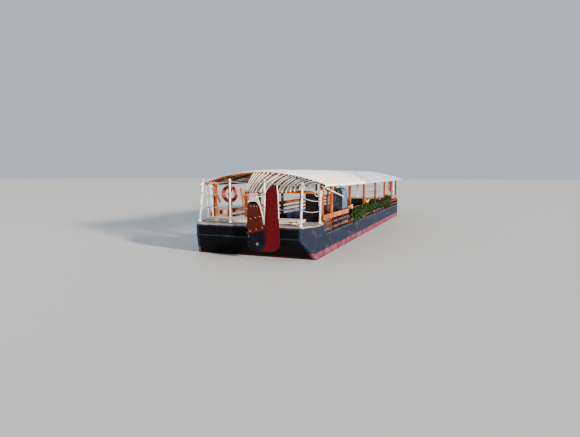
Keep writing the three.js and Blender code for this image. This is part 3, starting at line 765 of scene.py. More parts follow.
def make_posts(side, sign):
    boards = Boards(30 + sign)
    xs = span(sign, POST_OUT - POST_WIDE, POST_OUT)
    half = POST_DEEP / 2
    for y in POST_STATIONS:
        foot = DECK_TOP if y in (POST_STATIONS[0], POST_STATIONS[-1]) else FLOOR_TOP
        boards.add(xs, (at(y) - half, at(y) + half), (foot + CLEAR, EAVE_BEAM_LOW), "z")
    boards.row(xs, (EAVE_BEAM_LOW, EAVE_BEAM_HIGH),
               cuts_at(POST_STATIONS[0] - half, *ROOF_JOINTS, POST_STATIONS[-1] + half), 0.001)
    boards.piece(f"posts_{side}", POST_WOOD, "stained_wood", [f"post_row_{side}"], edge=0.005)


BENCH_DEPTH = 0.42
BENCH_SLATS = 4
BENCH_LEGS = 9
SLAT = 0.03


def make_bench(side, sign):
    boards, (x0, x1), (aft, fore), (low, high) = boards_for(f"bench_{side}", 40 + sign)
    joints = [aft, aft + 2.9, aft + 5.8, fore]
    for strip in equal_parts((x0, x0 + BENCH_DEPTH), BENCH_SLATS, 0.004):
        boards.row(strip, (high - SLAT, high), joints)
    inner = x0 if sign > 0 else x1
    front = sorted((inner + sign * 0.04, inner + sign * 0.065))
    for i in range(3):
        z = FLOOR_TOP + 0.02 + i * 0.125
        boards.row(front, (z, z + 0.115), joints, 0.02)
    legs = sorted((inner + sign * 0.07, inner + sign * (BENCH_DEPTH - 0.02)))
    for share in shares(BENCH_LEGS - 1):
        y = aft + 0.05 + (fore - aft - 0.15) * share
        boards.add(legs, (y, y + 0.05), (low, high - SLAT - CLEAR), "z")
    boards.piece(f"bench_slats_{side}", ORANGE_WOOD, "stained_wood", [f"bench_{side}"], edge=0.004)


# Canopy, its frame and the end curtain.
def canopy_height(x, y):
    """Height of the canopy's arch, with y from the stern."""
    across = min(1.0, abs(x) / CANOPY_HALF_WIDTH)
    near_end = max(0.0, 1 - min(y - CANOPY_AFT, CANOPY_FORE - y) / 0.9)
    crown = CANOPY_CROWN - 0.07 * near_end * near_end
    return crown - (crown - CANOPY_EAVE) * across * across


BOW_STATIONS = [CANOPY_AFT + 0.06, *POST_STATIONS, CANOPY_FORE - 0.06]
BOW_STEPS = 44
BOW_THICK = 0.05
BATTENS = [-1.08, -0.54, 0.0, 0.54, 1.08]
BATTEN_HALF = 0.022
BOW_REACH = 1.76
EAVE_BATTEN = 0.024
EDGE_DEPTH = 0.035


def make_roof_frame():
    """Bows across, thinner where they run out over the eave beams, with battens on them."""
    boards = Boards(50)
    for y in BOW_STATIONS:
        deep = 0.06 if y in POST_STATIONS else EDGE_DEPTH
        over = []
        under = []
        for share in shares(BOW_STEPS):
            x = BOW_REACH * (2 * share - 1)
            top = canopy_height(x, y) - 0.018
            over.append((x, top))
            past_beam = abs(x) > POST_OUT + 0.002
            under.append((x, top - EDGE_DEPTH if past_beam else max(top - deep, EAVE_BEAM_HIGH + CLEAR)))
        boards.shaped(under + over[::-1], BOW_THICK, "x", turned_at((0, at(y) + BOW_THICK / 2, 0), 90))
    joints = [BOW_STATIONS[0], *ROOF_JOINTS, BOW_STATIONS[-1]]
    for x in BATTENS:
        for a, b in pairwise(joints):
            top = min(canopy_height(x, a), canopy_height(x, b)) - 0.03
            boards.row((x - BATTEN_HALF, x + BATTEN_HALF), (top - EDGE_DEPTH, top), cuts_at(a, b), 0.001)
    eave = canopy_height(BOW_REACH, CANOPY_AFT) - 0.02
    for sign in (-1, 1):
        boards.row(span(sign, BOW_REACH - EAVE_BATTEN, BOW_REACH), (eave - EDGE_DEPTH, eave),
                   cuts_at(*joints), 0.001)
    boards.piece("roof_bows", POST_WOOD, "stained_wood", ["roof_frame"])


# Creases in the canvas: inner end and outer end as X and distance from the stern, and height.
CREASES = [
    ((0.35, 7.10), (1.74, 5.35), 0.016),
    ((0.95, 7.95), (1.74, 7.10), 0.016),
    ((0.60, 10.2), (1.74, 9.10), 0.009),
    ((-0.50, 5.2), (-1.74, 4.1), 0.010),
]
CREASE_WIDTH = 0.11
# The height at which a crease is kept fully clear of the painted forward shade, so that it shows as a
# painted highlight.
CREASE_SHOWN = 0.008


def crease_height(x, y):
    """How far the creases lift the canvas at one place."""
    lift = 0.0
    for inner, outer, high in CREASES:
        run = Vector(outer) - Vector(inner)
        gone = Vector((x, y)) - Vector(inner)
        t = gone.dot(run) / run.length_squared
        off = (gone - run * t).length / CREASE_WIDTH
        if 0.0 < t < 1.0 and off < 1.0:
            lift += high * (1 - off) ** 1.5 * min(1.0, 4 * t)
    return lift


def canopy_point(x, y):
    """The canvas: tight over each bow, slack between bows, rippled towards its tied edge."""
    after = max([s for s in BOW_STATIONS if s <= y], default=CANOPY_AFT)
    before = min([s for s in BOW_STATIONS if s >= y], default=CANOPY_FORE)
    share = (y - after) / max(before - after, 1e-6)
    slack = (1 - abs(1 - 2 * share) ** 5) * min(1.0, (before - after) / 2)
    edge = abs(x) / CANOPY_HALF_WIDTH
    z = canopy_height(x, y) + 0.006 - 0.024 * slack
    z -= 0.004 * slack * edge ** 3 - crease_height(x, y)
    ripple = noise.noise(Vector((x * 1.3, y * 2.3, 4.2)))
    fine = noise.noise(Vector((x * 5.0, y * 7.0, 1.1)))
    z += (0.006 * ripple + 0.0025 * fine) * (0.4 + 0.6 * edge)
    return point_at(x, y, z)


HEM = 0.05
CANOPY_ACROSS = 96
CANOPY_ALONG = 360


def make_canopy():
    bm = bmesh.new()
    crease_light = bm.verts.layers.float.new("crease_light")
    bmesh.ops.create_grid(bm, x_segments=CANOPY_ACROSS, y_segments=CANOPY_ALONG, size=1.0)
    drape = CANOPY_HALF_WIDTH + HEM
    for v in bm.verts:
        u = v.co.x * drape
        y = CANOPY_AFT + (v.co.y + 1) / 2 * (CANOPY_FORE - CANOPY_AFT)
        x = max(-CANOPY_HALF_WIDTH, min(CANOPY_HALF_WIDTH, u))
        point = canopy_point(x * 0.997, y)
        over = abs(u) - CANOPY_HALF_WIDTH
        if over > 0:
            wave = 0.004 * sin(y * 17) + 0.003 * noise.noise(Vector((y * 3, x, 0)))
            point.z -= over * (1 + 0.2 * noise.noise(Vector((y * 2.1, x, 3))))
            point.x += copysign(wave, x)
        v.co = point
        # Marks how far each corner is kept clear of the painted forward shade, giving a painted highlight
        # on the creases.
        v[crease_light] = min(1.0, crease_height(x, y) / CREASE_SHOWN)
    canvas = place("canopy_canvas", bm, CANVAS, ["canopy"])
    modify(canvas, "SOLIDIFY", thickness=0.003, offset=-1)


# How deep each valley between two pleats is, and how much painted shade it gets, from port to starboard.
VALLEYS = [0.3, 0.4, 0.35, 0.6, 0.35, 0.7, 0.75, 0.4, 0.95, 0.35, 1.0, 0.45, 0.9, 0.5, 0.8, 0.9, 0.6,
           0.3]
FOLDS = len(VALLEYS) - 1
CURTAIN_ACROSS = 300
CURTAIN_UP = 24


def curtain_point(across, up):
    """Gathered canvas from the canopy's aft edge to the tie beam, and how deep in a pleat's valley it
    lies, as the amount of painted shade it gets.
    """
    top_x = -0.22 + across * 1.93
    low_x = -0.60 + 1.98 * across ** 1.6
    x = low_x + (top_x - low_x) * up ** (1.0 + 0.5 * across)
    top_z = canopy_height(x, CANOPY_AFT) - 0.014
    low_z = TIE_HIGH - 0.06 + 0.13 * max(0.0, across - 0.72) / 0.28
    z = low_z + (top_z - low_z) * up
    sway = 0.035 * sin(9 * across) + 0.02 * noise.noise(Vector((across * 6, up * 1.5, 0.3)))
    sway *= min(1.0, 8 * across, 8 * (1 - across))
    turns = FOLDS * min(1.0, max(0.0, across + sway))
    wave = 0.5 - 0.5 * cos(tau * turns)
    strength = VALLEYS[round(turns)]
    depth = 0.05 + 0.06 * strength
    y_face = CANOPY_AFT + 0.006 + (1.150 - CANOPY_AFT) * (1 - up) ** 2
    gather = min(1.0, 5 * up + 0.3, 6 * (1 - up) + 0.45)
    x += 0.02 * gather * sin(tau * turns)
    z += 0.014 * (1 - up) * cos(tau * turns)
    point = point_at(x, y_face + depth * gather * (1 - wave), z)
    return point, (1 - wave) ** (2.4 - 1.5 * strength) * strength * gather


def make_curtain():
    bm = bmesh.new()
    fold_shade = bm.verts.layers.float.new("fold_shade")
    bmesh.ops.create_grid(bm, x_segments=CURTAIN_ACROSS, y_segments=CURTAIN_UP, size=0.5)
    for v in bm.verts:
        # Each corner also stores how much painted shade it gets from its place in a pleat valley.
        v.co, v[fold_shade] = curtain_point(v.co.x + 0.5, v.co.y + 0.5)
    curtain = place("end_curtain_canvas", bm, CURTAIN_CANVAS, ["end_curtain"])
    modify(curtain, "SOLIDIFY", thickness=0.002, offset=-1)


LACING_START = 0.95
LACING_LOOP = 0.15
LACING_LOOPS = 17


def make_lacing():
    """Loops of line over the aft end of the port eave beam, and eyelets along the curtain's top."""
    loops = bmesh.new()
    x = POST_WIDE - POST_OUT
    z = canopy_height(x, CANOPY_AFT) - 0.03
    for i in range(LACING_LOOPS):
        y = LACING_START + i * LACING_LOOP
        lay_rope(loops, hang(point_at(x, y, z), point_at(x, y + LACING_LOOP, z), 0.06, 8), 0.008)
    place_lashing("eave_lacing", loops)
    eyelets = bmesh.new()
    for fold in range(1, FOLDS):
        spot, _ = curtain_point((fold + 0.5) / FOLDS, 0.93)
        bolt_head(eyelets, spot - Vector((0, 0.004, 0)), (0, -1, 0), 0.013, 0.005)
    place("curtain_eyelets", eyelets, NAVY)


PANEL_RAIL = 0.07
PANEL_SLATS = [1.845, 1.755]


def make_aft_frame():
    """The tie beam, the middle post, and the dark panel with its rails and two slats."""
    beam, *limits = boards_for("aft_tie_beam", 60)
    beam.add(*limits, "x")
    beam.piece("tie_beam_board", ORANGE_WOOD, "rust_board", ["aft_tie_beam"], edge=0.005)
    post, *limits = boards_for("aft_middle_post", 61)
    post.add(*limits, "z")
    post.piece("middle_post_board", POST_WOOD, "stained_wood", ["aft_middle_post"], edge=0.006)
    panel, xs, ys, zs = boards_for("aft_panel", 62)
    x0, x1 = xs[0] + PANEL_RAIL, xs[1] - PANEL_RAIL
    panel.add((xs[0], x0), ys, zs, "z")
    panel.add((x1, xs[1]), ys, zs, "z")
    for z in (zs[0], sum(zs) / 2 + 0.08, zs[1] - PANEL_RAIL):
        panel.add((x0, x1), ys, (z, z + PANEL_RAIL), "x")
    panel.add((x0 - 0.01, x1 + 0.01), (ys[0] + 0.012, ys[1] - 0.012), (zs[0] + 0.01, zs[1] - 0.01), "z")
    panel.piece("aft_panel_boards", INNER_BOARD, "dark_paint", ["aft_panel"])
    slats = Boards(63)
    for z in PANEL_SLATS:
        slats.add((1.19, 1.39), (ys[0] + 0.001, ys[0] + 0.011), (z, z + 0.018), "x")
    slats.piece("aft_panel_slats", CAP, "dark_paint", edge=0.002)


# Railings. Stanchions: foot and top as X and distance from the end of the boat, and height.
STERN_STANCHIONS = [
    ((-1.580, 1.080), (-1.650, 1.070), 0.930),
    ((-1.540, 0.320), (-1.415, 0.330), 1.130),
    ((-0.630, 0.340), (-0.630, 0.340), 1.140),
    ((0.350, 0.340), (0.350, 0.340), 1.130),
    ((1.420, 0.060), (1.425, 0.160), 1.060),
    ((1.610, 0.960), (1.625, 0.960), 0.860),
]
BOW_STANCHIONS = [((x, 0.06), (x, 0.06), 0.92) for x in (1.39, 0.47, -0.47, -1.39)]
TUBE_RADIUS = 0.024
TUBE_SIDES = 20
ROPE_RADIUS = 0.010
ROPE_LEVELS = [0.97, 0.70, 0.39]
ROPE_SAG = 0.045


def stanchion_point(stanchion, share, bow_end=False):
    """A place on a stanchion, from its foot at share 0 to the centre of its knob at share 1."""
    (foot_x, foot_y), (top_x, top_y), high = stanchion
    y = at(foot_y + (top_y - foot_y) * share)
    return Vector((foot_x + (top_x - foot_x) * share, -y if bow_end else y,
                   DECK_TOP + share * (high - 0.04)))


def make_railing(name, stanchions, bow_end=False):
    tubes = bmesh.new()
    ropes = bmesh.new()
    for stanchion in stanchions:
        foot = stanchion_point(stanchion, 0.0, bow_end)
        top = stanchion_point(stanchion, 1.0, bow_end)
        lean = (top - foot).normalized()
        round_bar(tubes, foot, top, TUBE_RADIUS, TUBE_SIDES)
        round_bar(tubes, foot, foot + lean * 0.05, TUBE_RADIUS * 1.5, TUBE_SIDES, TUBE_RADIUS * 1.35)
        round_bar(tubes, foot, foot + Vector((0, 0, 0.008)), TUBE_RADIUS * 2.3, TUBE_SIDES)
        bmesh.ops.create_uvsphere(tubes, u_segments=18, v_segments=10, radius=TUBE_RADIUS * 1.25,
                                  matrix=Matrix.Translation(top))
        for level in ROPE_LEVELS:
            ring = stanchion_point(stanchion, level, bow_end)
            lay_rope(ropes, wind(ring, TUBE_RADIUS + ROPE_RADIUS, 2.0, ROPE_RADIUS * 4), ROPE_RADIUS)
    for pair in pairwise(stanchions):
        for level in ROPE_LEVELS:
            near, far = [stanchion_point(stanchion, level, bow_end) for stanchion in pair]
            lay_rope(ropes, hang(near, far, ROPE_SAG), ROPE_RADIUS)
    place(name + "_tubes", tubes, TUBE_WHITE, [name])
    place(name + "_ropes", ropes, SHADED_ROPE)


BUNDLE_TOP = 2.19
BUNDLE_LENGTH = 0.28
BUNDLE_TURNS = 11
BUNDLE_STEPS = 132
# Lines that hang from the bundle: radius, and bends as X, distance from the stern, and Z.
BUNDLE_LINES = [
    (0.014, [(-1.69, 1.02, 2.14), (-1.75, 1.00, 2.12), (-1.775, 1.00, 2.05), (-1.72, 1.00, 1.99)]),
    (0.008, [(-1.70, 1.02, 2.00), (-1.72, 1.01, 1.75), (-1.69, 1.01, 1.50), (-1.70, 1.00, 1.30)]),
]
# Knots: which stern stanchion, and the rope level. Each has a loose end of the same form.
KNOTS = [(1, 0.70), (1, 0.39), (2, 0.70), (3, 0.70), (4, 0.97)]
LOOSE_END = [(-0.03, 0.02), (0.05, 0.01), (0.065, -0.05), (0.055, -0.12)]
# Loops beside the head of the last stanchion: radius, and bends as X and Z from that head.
HEAD_LOOPS = [
    (0.011, [(0, 0), (-0.11, 0.01), (-0.15, -0.09), (-0.08, -0.14), (0, -0.10)]),
    (0.010, [(0, -0.03), (-0.07, -0.02), (-0.08, -0.07), (0, -0.08)]),
]


def make_lashings():
    """Loose cord on the stern stanchions: a tapering bundle to port, knots, and loops to starboard."""
    bm = bmesh.new()
    bundle = []
    for t in shares(BUNDLE_STEPS):
        axis = stanchion_point(STERN_STANCHIONS[0], 1.02 - 0.3 * t)
        a, b = polar(0.052 - 0.022 * t, tau * BUNDLE_TURNS * t)
        bundle.append(Vector((axis.x + a, axis.y + b, BUNDLE_TOP - BUNDLE_LENGTH * t)))
    lay_rope(bm, bundle, 0.013)
    head = stanchion_point(STERN_STANCHIONS[0], 1.0)
    centre = Vector((head.x + 0.01, head.y - 0.03, BUNDLE_TOP + 0.02))
    lay_rope(bm, wind(centre, 0.034, 2.6, 0.03, "y"), 0.014)
    for radius, bends in BUNDLE_LINES:
        lay_rope(bm, rounded([point_at(*bend) for bend in bends]), radius)
    for stanchion, level in KNOTS:
        spot = stanchion_point(STERN_STANCHIONS[stanchion], level)
        lay_flat(bm, spot - Vector((0, 0.035, 0)), LOOSE_END, 0.009)
    last = stanchion_point(STERN_STANCHIONS[-1], 1.0)
    lay_rope(bm, wind(last - Vector((0, 0, 0.05)), 0.037, 5, 0.13), 0.012)
    for radius, bends in HEAD_LOOPS:
        lay_flat(bm, last - Vector((0, 0.04, 0)), bends, radius)
    place_lashing("stanchion_lashings", bm)


# Rudder. Its bolts, edge and ropes are given as X and Z.
RUDDER_BOLTS = [(0.230, 1.745), (0.315, 1.745), (0.395, 1.740), (0.220, 1.440), (0.345, 1.470),
                (0.460, 1.500), (0.205, 1.135), (0.370, 1.190), (0.525, 1.235)]
BLADE_EDGE = [(0.9355, 1.45), (0.920, 1.90), (0.886, 2.262)]
HEAD_ROPES = [
    [(0.17, 1.86), (0.25, 1.90), (0.36, 1.95), (0.46, 1.98), (0.60, 1.99)],
    [(0.16, 1.83), (0.24, 1.875), (0.36, 1.875), (0.43, 1.84), (0.47, 1.76)],
    [(0.38, 2.00), (0.43, 1.93), (0.47, 1.82), (0.52, 1.65), (0.56, 1.50), (0.585, 1.42)],
]


def make_rudder():
    dress("rudder_gudgeons", ZINC, 0.002)
    dress("rudder_pintle", ZINC, 0.002)
    dress("rudder_plate", NAVY, 0.004)
    dress("rudder_blade", BLADE_RED, 0.006, 3)
    dress("rudder_bolt", ZINC, 0.003)
    dress("rudder_cheek_board", RUST_BOARD, 0.004)
    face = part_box("rudder_cheek_board")[0].y
    heads = bmesh.new()
    for x, z in RUDDER_BOLTS:
        bolt_head(heads, (x, face, z), (0, -1, 0), 0.010, 0.009)
    place("rudder_board_bolts", heads, ZINC, body="rudder")
    ropes = bmesh.new()
    for bends in HEAD_ROPES:
        lay_flat(ropes, Vector((0, face - 0.016, 0)), bends, 0.013)
    place_lashing("rudder_head_ropes", ropes, "rudder")


def make_blade_edge():
    """A thin white strip along the blade's forward edge: a painted highlight where the sun lights the
    edge.
    """
    low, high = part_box("rudder_blade")
    middle, half_thick = (low.y + high.y) / 2, (high.y - low.y) / 2
    edge = Boards(16)
    for (x0, z0), (x1, z1) in pairwise(BLADE_EDGE):
        slope = degrees(atan2(x1 - x0, z1 - z0))
        turn = turned_at(((x0 + x1) / 2, middle, (z0 + z1) / 2), slope, "Y")
        half = hypot(x1 - x0, z1 - z0) / 2
        edge.add((-0.001, 0.004), (-half_thick, half_thick), (-half, half), "z", turn)
    edge.piece("blade_edge_highlight", TUBE_WHITE, "white_metal", body="blade", edge=0.0015)


# Fittings.
RING_SIDES = 24
RING_BANDS = 4
BAND_ANGLE = 18
LINE_STEPS = 16


def spun_ring(bm, centre, ring_radius, tube_radius, axis, start=0, angle=360, steps=64):
    """A ring, or part of one, spun from a circle round an axis."""
    before = set(bm.verts)
    verts = bmesh.ops.create_circle(bm, segments=RING_SIDES, radius=tube_radius)["verts"]
    edges = list({e for v in verts for e in v.link_edges})
    first = turned_at((0, 0, 0), start, "Z") @ turned_at((ring_radius, 0, 0), 90)
    bmesh.ops.transform(bm, matrix=first, verts=verts)
    bmesh.ops.spin(bm, geom=verts + edges, cent=(0, 0, 0), axis=(0, 0, 1), dvec=(0, 0, 0),
                   angle=radians(angle), steps=steps, use_merge=angle == 360, use_duplicate=False)
    made = [v for v in bm.verts if v not in before]
    bmesh.ops.transform(bm, matrix=Matrix.Translation(centre) @ facing_out(axis), verts=made)


def make_life_ring(name, node, axis):
    """A ring with four dark bands, and a grab line that stands off between them."""
    low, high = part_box(node)
    centre = (low + high) / 2
    tube = min(high - low) / 2
    radius = max(high - low) / 2 - tube
    skin = bmesh.new()
    spun_ring(skin, centre, radius, tube, axis)
    bmesh.ops.remove_doubles(skin, verts=skin.verts, dist=1e-5)
    bmesh.ops.recalc_face_normals(skin, faces=skin.faces)
    place(name + "_skin", skin, RING_RED, [node])
    bands = bmesh.new()
    line = bmesh.new()
    turn = facing_out(axis)
    for k in range(RING_BANDS):
        middle = 45 + 90 * k
        spun_ring(bands, centre, radius, tube + 0.002, axis, middle - BAND_ANGLE / 2, BAND_ANGLE, 6)
        points = []
        for t in shares(LINE_STEPS):
            reach = radius + tube + 0.004 + 0.008 * sin(pi * t)
            points.append(centre + turn @ Vector((*polar(reach, radians(middle + 90 * t)), 0)))
        lay_rope(line, points, 0.004)
    bmesh.ops.recalc_face_normals(bands, faces=bands.faces)
    place(name + "_bands", bands, RING_BAND)
    place_lashing(name + "_line", line)


LOCKER_STRAIGHT = 1.63
LOCKER_RIM = 0.045
LOCKER_RECESS = 0.03
LOCKER_SLATS = 5
ARCH_STEPS = 16


def make_locker():
    """A barrel-topped locker: a painted rim round recessed upright boards, aft and forward."""
    low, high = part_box("domed_locker")
    half = (high.x - low.x) / 2
    rise = high.z - low.z - LOCKER_STRAIGHT
    middle = (low.x + high.x) / 2
    bm = bmesh.new()
    arch = [(half * cos(pi * t), LOCKER_STRAIGHT + rise * sin(pi * t)) for t in shares(ARCH_STEPS)]
    extrude(bm, [(-half, 0), (half, 0), *arch], high.y - low.y)
    bm.normal_update()
    ends = [f for f in bm.faces if abs(f.normal.z) > 0.9]
    bmesh.ops.inset_region(bm, faces=ends, thickness=LOCKER_RIM, depth=0)
    for end in ends:
        inward = copysign(LOCKER_RECESS, -end.normal.z)
        bmesh.ops.translate(bm, vec=(0, 0, inward), verts=end.verts)
    bmesh.ops.transform(bm, matrix=turned_at((middle, high.y, low.z), 90), verts=bm.verts)
    bmesh.ops.recalc_face_normals(bm, faces=bm.faces)
    soften(place("locker_rim", bm, LOCKER_BLUE, ["domed_locker"], smooth=False), 0.006)
    boards = Boards(70)
    reach = half - LOCKER_RIM
    for y in (low.y + 0.012, high.y - LOCKER_RECESS):
        for x0, x1 in equal_parts((0.004 - reach, reach - 0.004), LOCKER_SLATS):
            outer = min(0.96, max(abs(x0), abs(x1)) / reach)
            top = LOCKER_STRAIGHT + (rise - LOCKER_RIM) * sqrt(1 - outer * outer) - 0.004
            boards.add((middle + x0 + 0.002, middle + x1 - 0.002), (y, y + 0.018),
                       (low.z + LOCKER_RIM + 0.004, low.z + top), "z")
    boards.piece("locker_boards", LOCKER_BOARD, "dark_paint")


POLE_AFT = (1.64, 1.0, 2.215)
POLE_FORE = (1.64, 3.2, 1.83)
POLE_TIP = 0.09


def make_pole():
    """The boat pole with its pale tip, and a lashing at each of the two posts that it crosses."""
    start, end = point_at(*POLE_AFT), point_at(*POLE_FORE)
    neck = end.lerp(start, POLE_TIP)
    shaft = bmesh.new()
    round_bar(shaft, start, neck, 0.017, TUBE_SIDES)
    place("pole_shaft", shaft, POLE_VARNISH, ["boat_pole"])
    tip = bmesh.new()
    round_bar(tip, neck, end, 0.0175, TUBE_SIDES, 0.012)
    place("pole_tip", tip, POLE_TIP_PAINT)
    ties = bmesh.new()
    for y in POST_STATIONS[:2]:
        share = (y - POLE_AFT[1]) / (POLE_FORE[1] - POLE_AFT[1])
        lay_rope(ties, wind(start.lerp(end, share), 0.024, 3.0, 0.05, "y"), 0.006)
    place_lashing("pole_lashings", ties)


GRAB_LENGTH = 0.58
GRAB_BOARD = 0.06
# Each board's slope in degrees, and how far its head lies behind the rail's own head.
GRAB_SLOPES = [(53.0, 0.0), (67.5, 0.032)]
# Each rail's head as distance from the stern and Z, and the side of the post that it is bolted to.
GRAB_RAILS = {"port": (1.065, 2.155, 1), "middle": (0.985, 2.125, -1)}


def make_grab_rail(name, head_y, head_z, outward):
    """Two slanted boards from one head, bolted to the side of a post."""
    boards, xs, _, _ = boards_for(f"grab_rail_{name}", 15)
    bolts = bmesh.new()
    side = xs[1] if outward > 0 else xs[0]
    for slope, back in GRAB_SLOPES:
        turn = turned_at(point_at(0, head_y - back, head_z), -slope)
        boards.add(xs, (0, GRAB_LENGTH), (-GRAB_BOARD / 2, GRAB_BOARD / 2), "y", turn)
        for along in (0.05, 0.30, GRAB_LENGTH - 0.04):
            bolt_head(bolts, turn @ Vector((side, along, 0)), (outward, 0, 0))
    boards.piece(f"grab_boards_{name}", ORANGE_WOOD, "stained_wood", [f"grab_rail_{name}"], edge=0.008)
    place(f"grab_bolts_{name}", bolts, ZINC)


CLEAT = point_at(1.11, 0.36, DECK_TOP)


def make_cleat():
    """A horned mooring cleat on the stern deck, with two turns of line."""
    bm = bmesh.new()
    for side in (-1, 1):
        round_bar(bm, CLEAT + Vector((side * 0.045, 0, -0.002)), CLEAT + Vector((side * 0.04, 0, 0.05)),
                  0.018)
        round_bar(bm, CLEAT + Vector((0, 0, 0.055)), CLEAT + Vector((side * 0.15, 0, 0.07)), 0.018,
                  tip=0.009)
    base = bmesh.ops.create_cube(bm, size=1.0)["verts"]
    bmesh.ops.scale(bm, vec=(0.15, 0.07, 0.012), verts=base)
    bmesh.ops.translate(bm, vec=CLEAT + Vector((0, 0, 0.006)), verts=base)
    place("stern_cleat", bm, NAVY)
    rope = bmesh.new()
    for level in (0.03, 0.05):
        lay_rope(rope, wind(CLEAT + Vector((0, 0, level)), 0.065, 1.0, 0.01), 0.008)
    place_lashing("cleat_rope", rope)


FLOWER_BOXES = [(3.95, 5.65), (6.15, 7.85), (8.35, 10.45)]
BOX_OUT = HALF_BEAM + 0.0003
BOX_WIDE = 0.17
BOX_BOARD = 0.018
BOX_LOW = WATERLINE + 0.85
BOX_HIGH = WATERLINE + 1.03


def make_flower_boxes():
    """Three open troughs: two sides, two ends and the soil board of each."""
    boards = Boards(80)
    inside = (BOX_OUT + BOX_BOARD, BOX_OUT + BOX_WIDE - BOX_BOARD)
    zs = (BOX_LOW, BOX_HIGH)
    for start, end in FLOWER_BOXES:
        a, b = at(start), at(end)
        for x in (BOX_OUT, inside[1]):
            boards.add((x, x + BOX_BOARD), (a, b), zs)
        for y in (a, b - BOX_BOARD):
            boards.add(inside, (y, y + BOX_BOARD), zs, "x")
        boards.add(inside, (a + BOX_BOARD, b - BOX_BOARD), (BOX_HIGH - 0.05, BOX_HIGH - 0.02))
    boards.piece("flower_box_boards", BOX_WOOD, "box_wood", ["flower_boxes"])


def add_leaf(bm, shade_layer, foot, facing, length, width, shade):
    """A folded leaf of four triangles."""
    forward = Vector(facing).normalized()
    side = forward.cross(Vector((0.1, 0.2, 1.0))).normalized()
    up = side.cross(forward)
    middle = foot + forward * length * 0.5
    places = [foot, middle + side * width - up * width * 0.3,
              foot + forward * length - up * length * 0.15,
              middle - side * width - up * width * 0.3, middle + up * width * 0.15]
    verts = [bm.verts.new(p) for p in places]
    for v in verts:
        v[shade_layer] = shade
    for a, b in ((0, 1), (1, 2), (2, 3), (3, 0)):
        bm.faces.new((verts[a], verts[b], verts[4]))


# A clump of leaves: where it starts and ends, how high it stands and how far it hangs at each end.
CLUMPS = [
    ((3.66, 5.60), 0.03, (0.46, 0.30)),
    ((5.75, 7.90), 0.13, (0.34, 0.26)),
    ((8.30, 10.65), 0.20, (0.24, 0.52)),
]
TRAILING = ((3.66, 4.15), 0.02, (0.52, 0.42))
TRAILERS = 26
# Blooms: name, ranges of X, of distance from the stern and of Z, how many, petal length, material.
BLOOMS = [
    ("crimson", (1.68, 1.74), (3.40, 3.52), (1.49, 1.54), 3, 0.030, PETALS_MAGENTA),
    ("pink", (1.70, 1.80), (3.62, 3.90), (1.44, 1.53), 6, 0.036, PETALS_PINK),
    ("white", (1.70, 1.80), (3.54, 3.76), (1.49, 1.57), 6, 0.030, PETALS_WHITE),
    ("yellow", (1.70, 1.82), (5.62, 5.95), (1.53, 1.70), 11, 0.055, PETALS_YELLOW),
    ("magenta", (1.70, 1.82), (8.00, 8.35), (1.49, 1.60), 6, 0.045, PETALS_MAGENTA),
    ("orange", (1.70, 1.82), (9.60, 10.10), (1.52, 1.64), 6, 0.045, PETALS_ORANGE),
    ("garland_pink", (1.63, 1.68), (1.60, 1.72), (2.02, 2.12), 5, 0.026, PETALS_PINK),
    ("garland_red", (1.63, 1.68), (1.30, 1.55), (2.00, 2.06), 6, 0.024, PETALS_MAGENTA),
]
PETALS = 6
GARLAND = [(1.64, 1.29, 2.16), (1.66, 1.45, 2.05), (1.66, 1.60, 2.04), (1.64, 1.74, 2.14)]
GARLAND_LEAVES = 60
# How many points of the garland's rounded line carry leaves, from its aft end.
GARLAND_LEAFY = 24
SOIL = WATERLINE + 1.01
PLANT_REACH = 1.90
SPRIGS_A_METRE = 36
LEAVES_A_SPRIG = 16


def add_sprig(bm, shade_layer, pick, clump):
    """One stem with its leaves: it leaves the box, leans outwards, and stands up or hangs."""
    (start, end), tall, (near, far) = clump
    share = pick.random()
    y = start + (end - start) * share
    x = BOX_OUT + pick.uniform(0.02, 0.15)
    hanging = pick.random() < 0.6
    swell = 0.45 + 0.55 * sin(pi * min(1.0, 0.12 + share * 0.9)) * pick.uniform(0.7, 1.1)
    drop = near + (far - near) * share if hanging else 0.0
    drop *= pick.uniform(0.5, 1.05)
    high = tall * swell * (0.5 if hanging else 1.0)
    out = pick.uniform(0.02, 0.14)
    sway = pick.gauss(0, 0.08)
    tone = pick.random() ** 1.4
    for _ in range(LEAVES_A_SPRIG):
        t = pick.random()
        z = SOIL + high * sin(pi * min(1.0, 0.1 + t)) - drop * t * t
        if not hanging:
            z = SOIL + high * t
        size = pick.uniform(0.040, 0.085)
        foot = point_at(min(PLANT_REACH - size, max(BOX_OUT + 0.01, x + out * t + pick.gauss(0, 0.03))),
                        y + sway * t + pick.gauss(0, 0.04), z + pick.gauss(0, 0.025))
        facing = (pick.uniform(-0.5, 1.0), pick.uniform(-1, 1), pick.uniform(-0.9, 0.5))
        shade = min(1.0, max(0.0, tone + pick.gauss(0, 0.22)))
        add_leaf(bm, shade_layer, foot, facing, size, size * 0.45, shade)


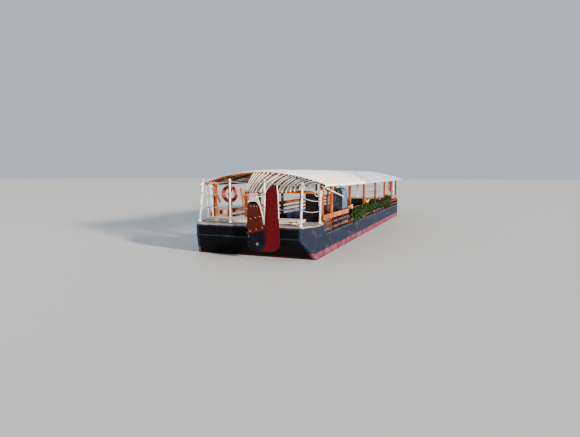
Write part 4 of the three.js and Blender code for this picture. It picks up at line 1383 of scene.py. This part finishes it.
def make_plants():
    pick = random.Random(90)
    bm = bmesh.new()
    shade = bm.verts.layers.float.new("shade")
    for clump in CLUMPS:
        start, end = clump[0]
        for _ in range(round(SPRIGS_A_METRE * (end - start))):
            add_sprig(bm, shade, pick, clump)
    for _ in range(TRAILERS):
        add_sprig(bm, shade, pick, TRAILING)
    garland = rounded([point_at(*bend) for bend in GARLAND])
    for _ in range(GARLAND_LEAVES):
        foot = garland[pick.randrange(GARLAND_LEAFY)]
        facing = (pick.uniform(0.1, 1.0), pick.uniform(-1, 1), pick.uniform(-1, 1))
        add_leaf(bm, shade, foot, facing, 0.045, 0.018, pick.random())
    place("plant_leaves", bm, LEAVES, ["flowers"], smooth=False)
    for name, xs, ys, zs, count, petal, material in BLOOMS:
        bm = bmesh.new()
        shade = bm.verts.layers.float.new("shade")
        for _ in range(count):
            centre = point_at(pick.uniform(*xs), pick.uniform(*ys), pick.uniform(*zs))
            tone = pick.random()
            for k in range(PETALS):
                a, b = polar(1, tau * k / PETALS)
                add_leaf(bm, shade, centre, (0.6 + 0.2 * a, a - 0.4, b), petal, petal * 0.42, tone)
        place(f"blooms_{name}", bm, material, smooth=False)


make_camera()
make_light()
make_floor()
make_hull()
deck_boards("aft_deck", AFT_BOARD_EDGES, 1.04, False, 1)
deck_boards("fore_deck", FORE_BOARD_EDGES, 0.557, True, 2)
make_floor_boards()
make_platform()
make_bulkheads()
make_steps()
for side_name, side_sign in SIDES.items():
    make_rails(side_name, side_sign)
    make_posts(side_name, side_sign)
    make_bench(side_name, side_sign)
make_roof_frame()
make_canopy()
make_aft_frame()
make_curtain()
make_railing("stern_railing", STERN_STANCHIONS)
make_railing("bow_railing", BOW_STANCHIONS, True)
make_lashings()
make_lacing()
make_rudder()
make_blade_edge()
make_life_ring("stern_ring", "life_ring_stern", (0, -1, 0))
make_life_ring("bow_ring", "life_ring_bow", (1, 0, 0))
make_locker()
make_pole()
for rail_name, rail_head in GRAB_RAILS.items():
    make_grab_rail(rail_name, *rail_head)
make_cleat()
make_flower_boxes()
make_plants()
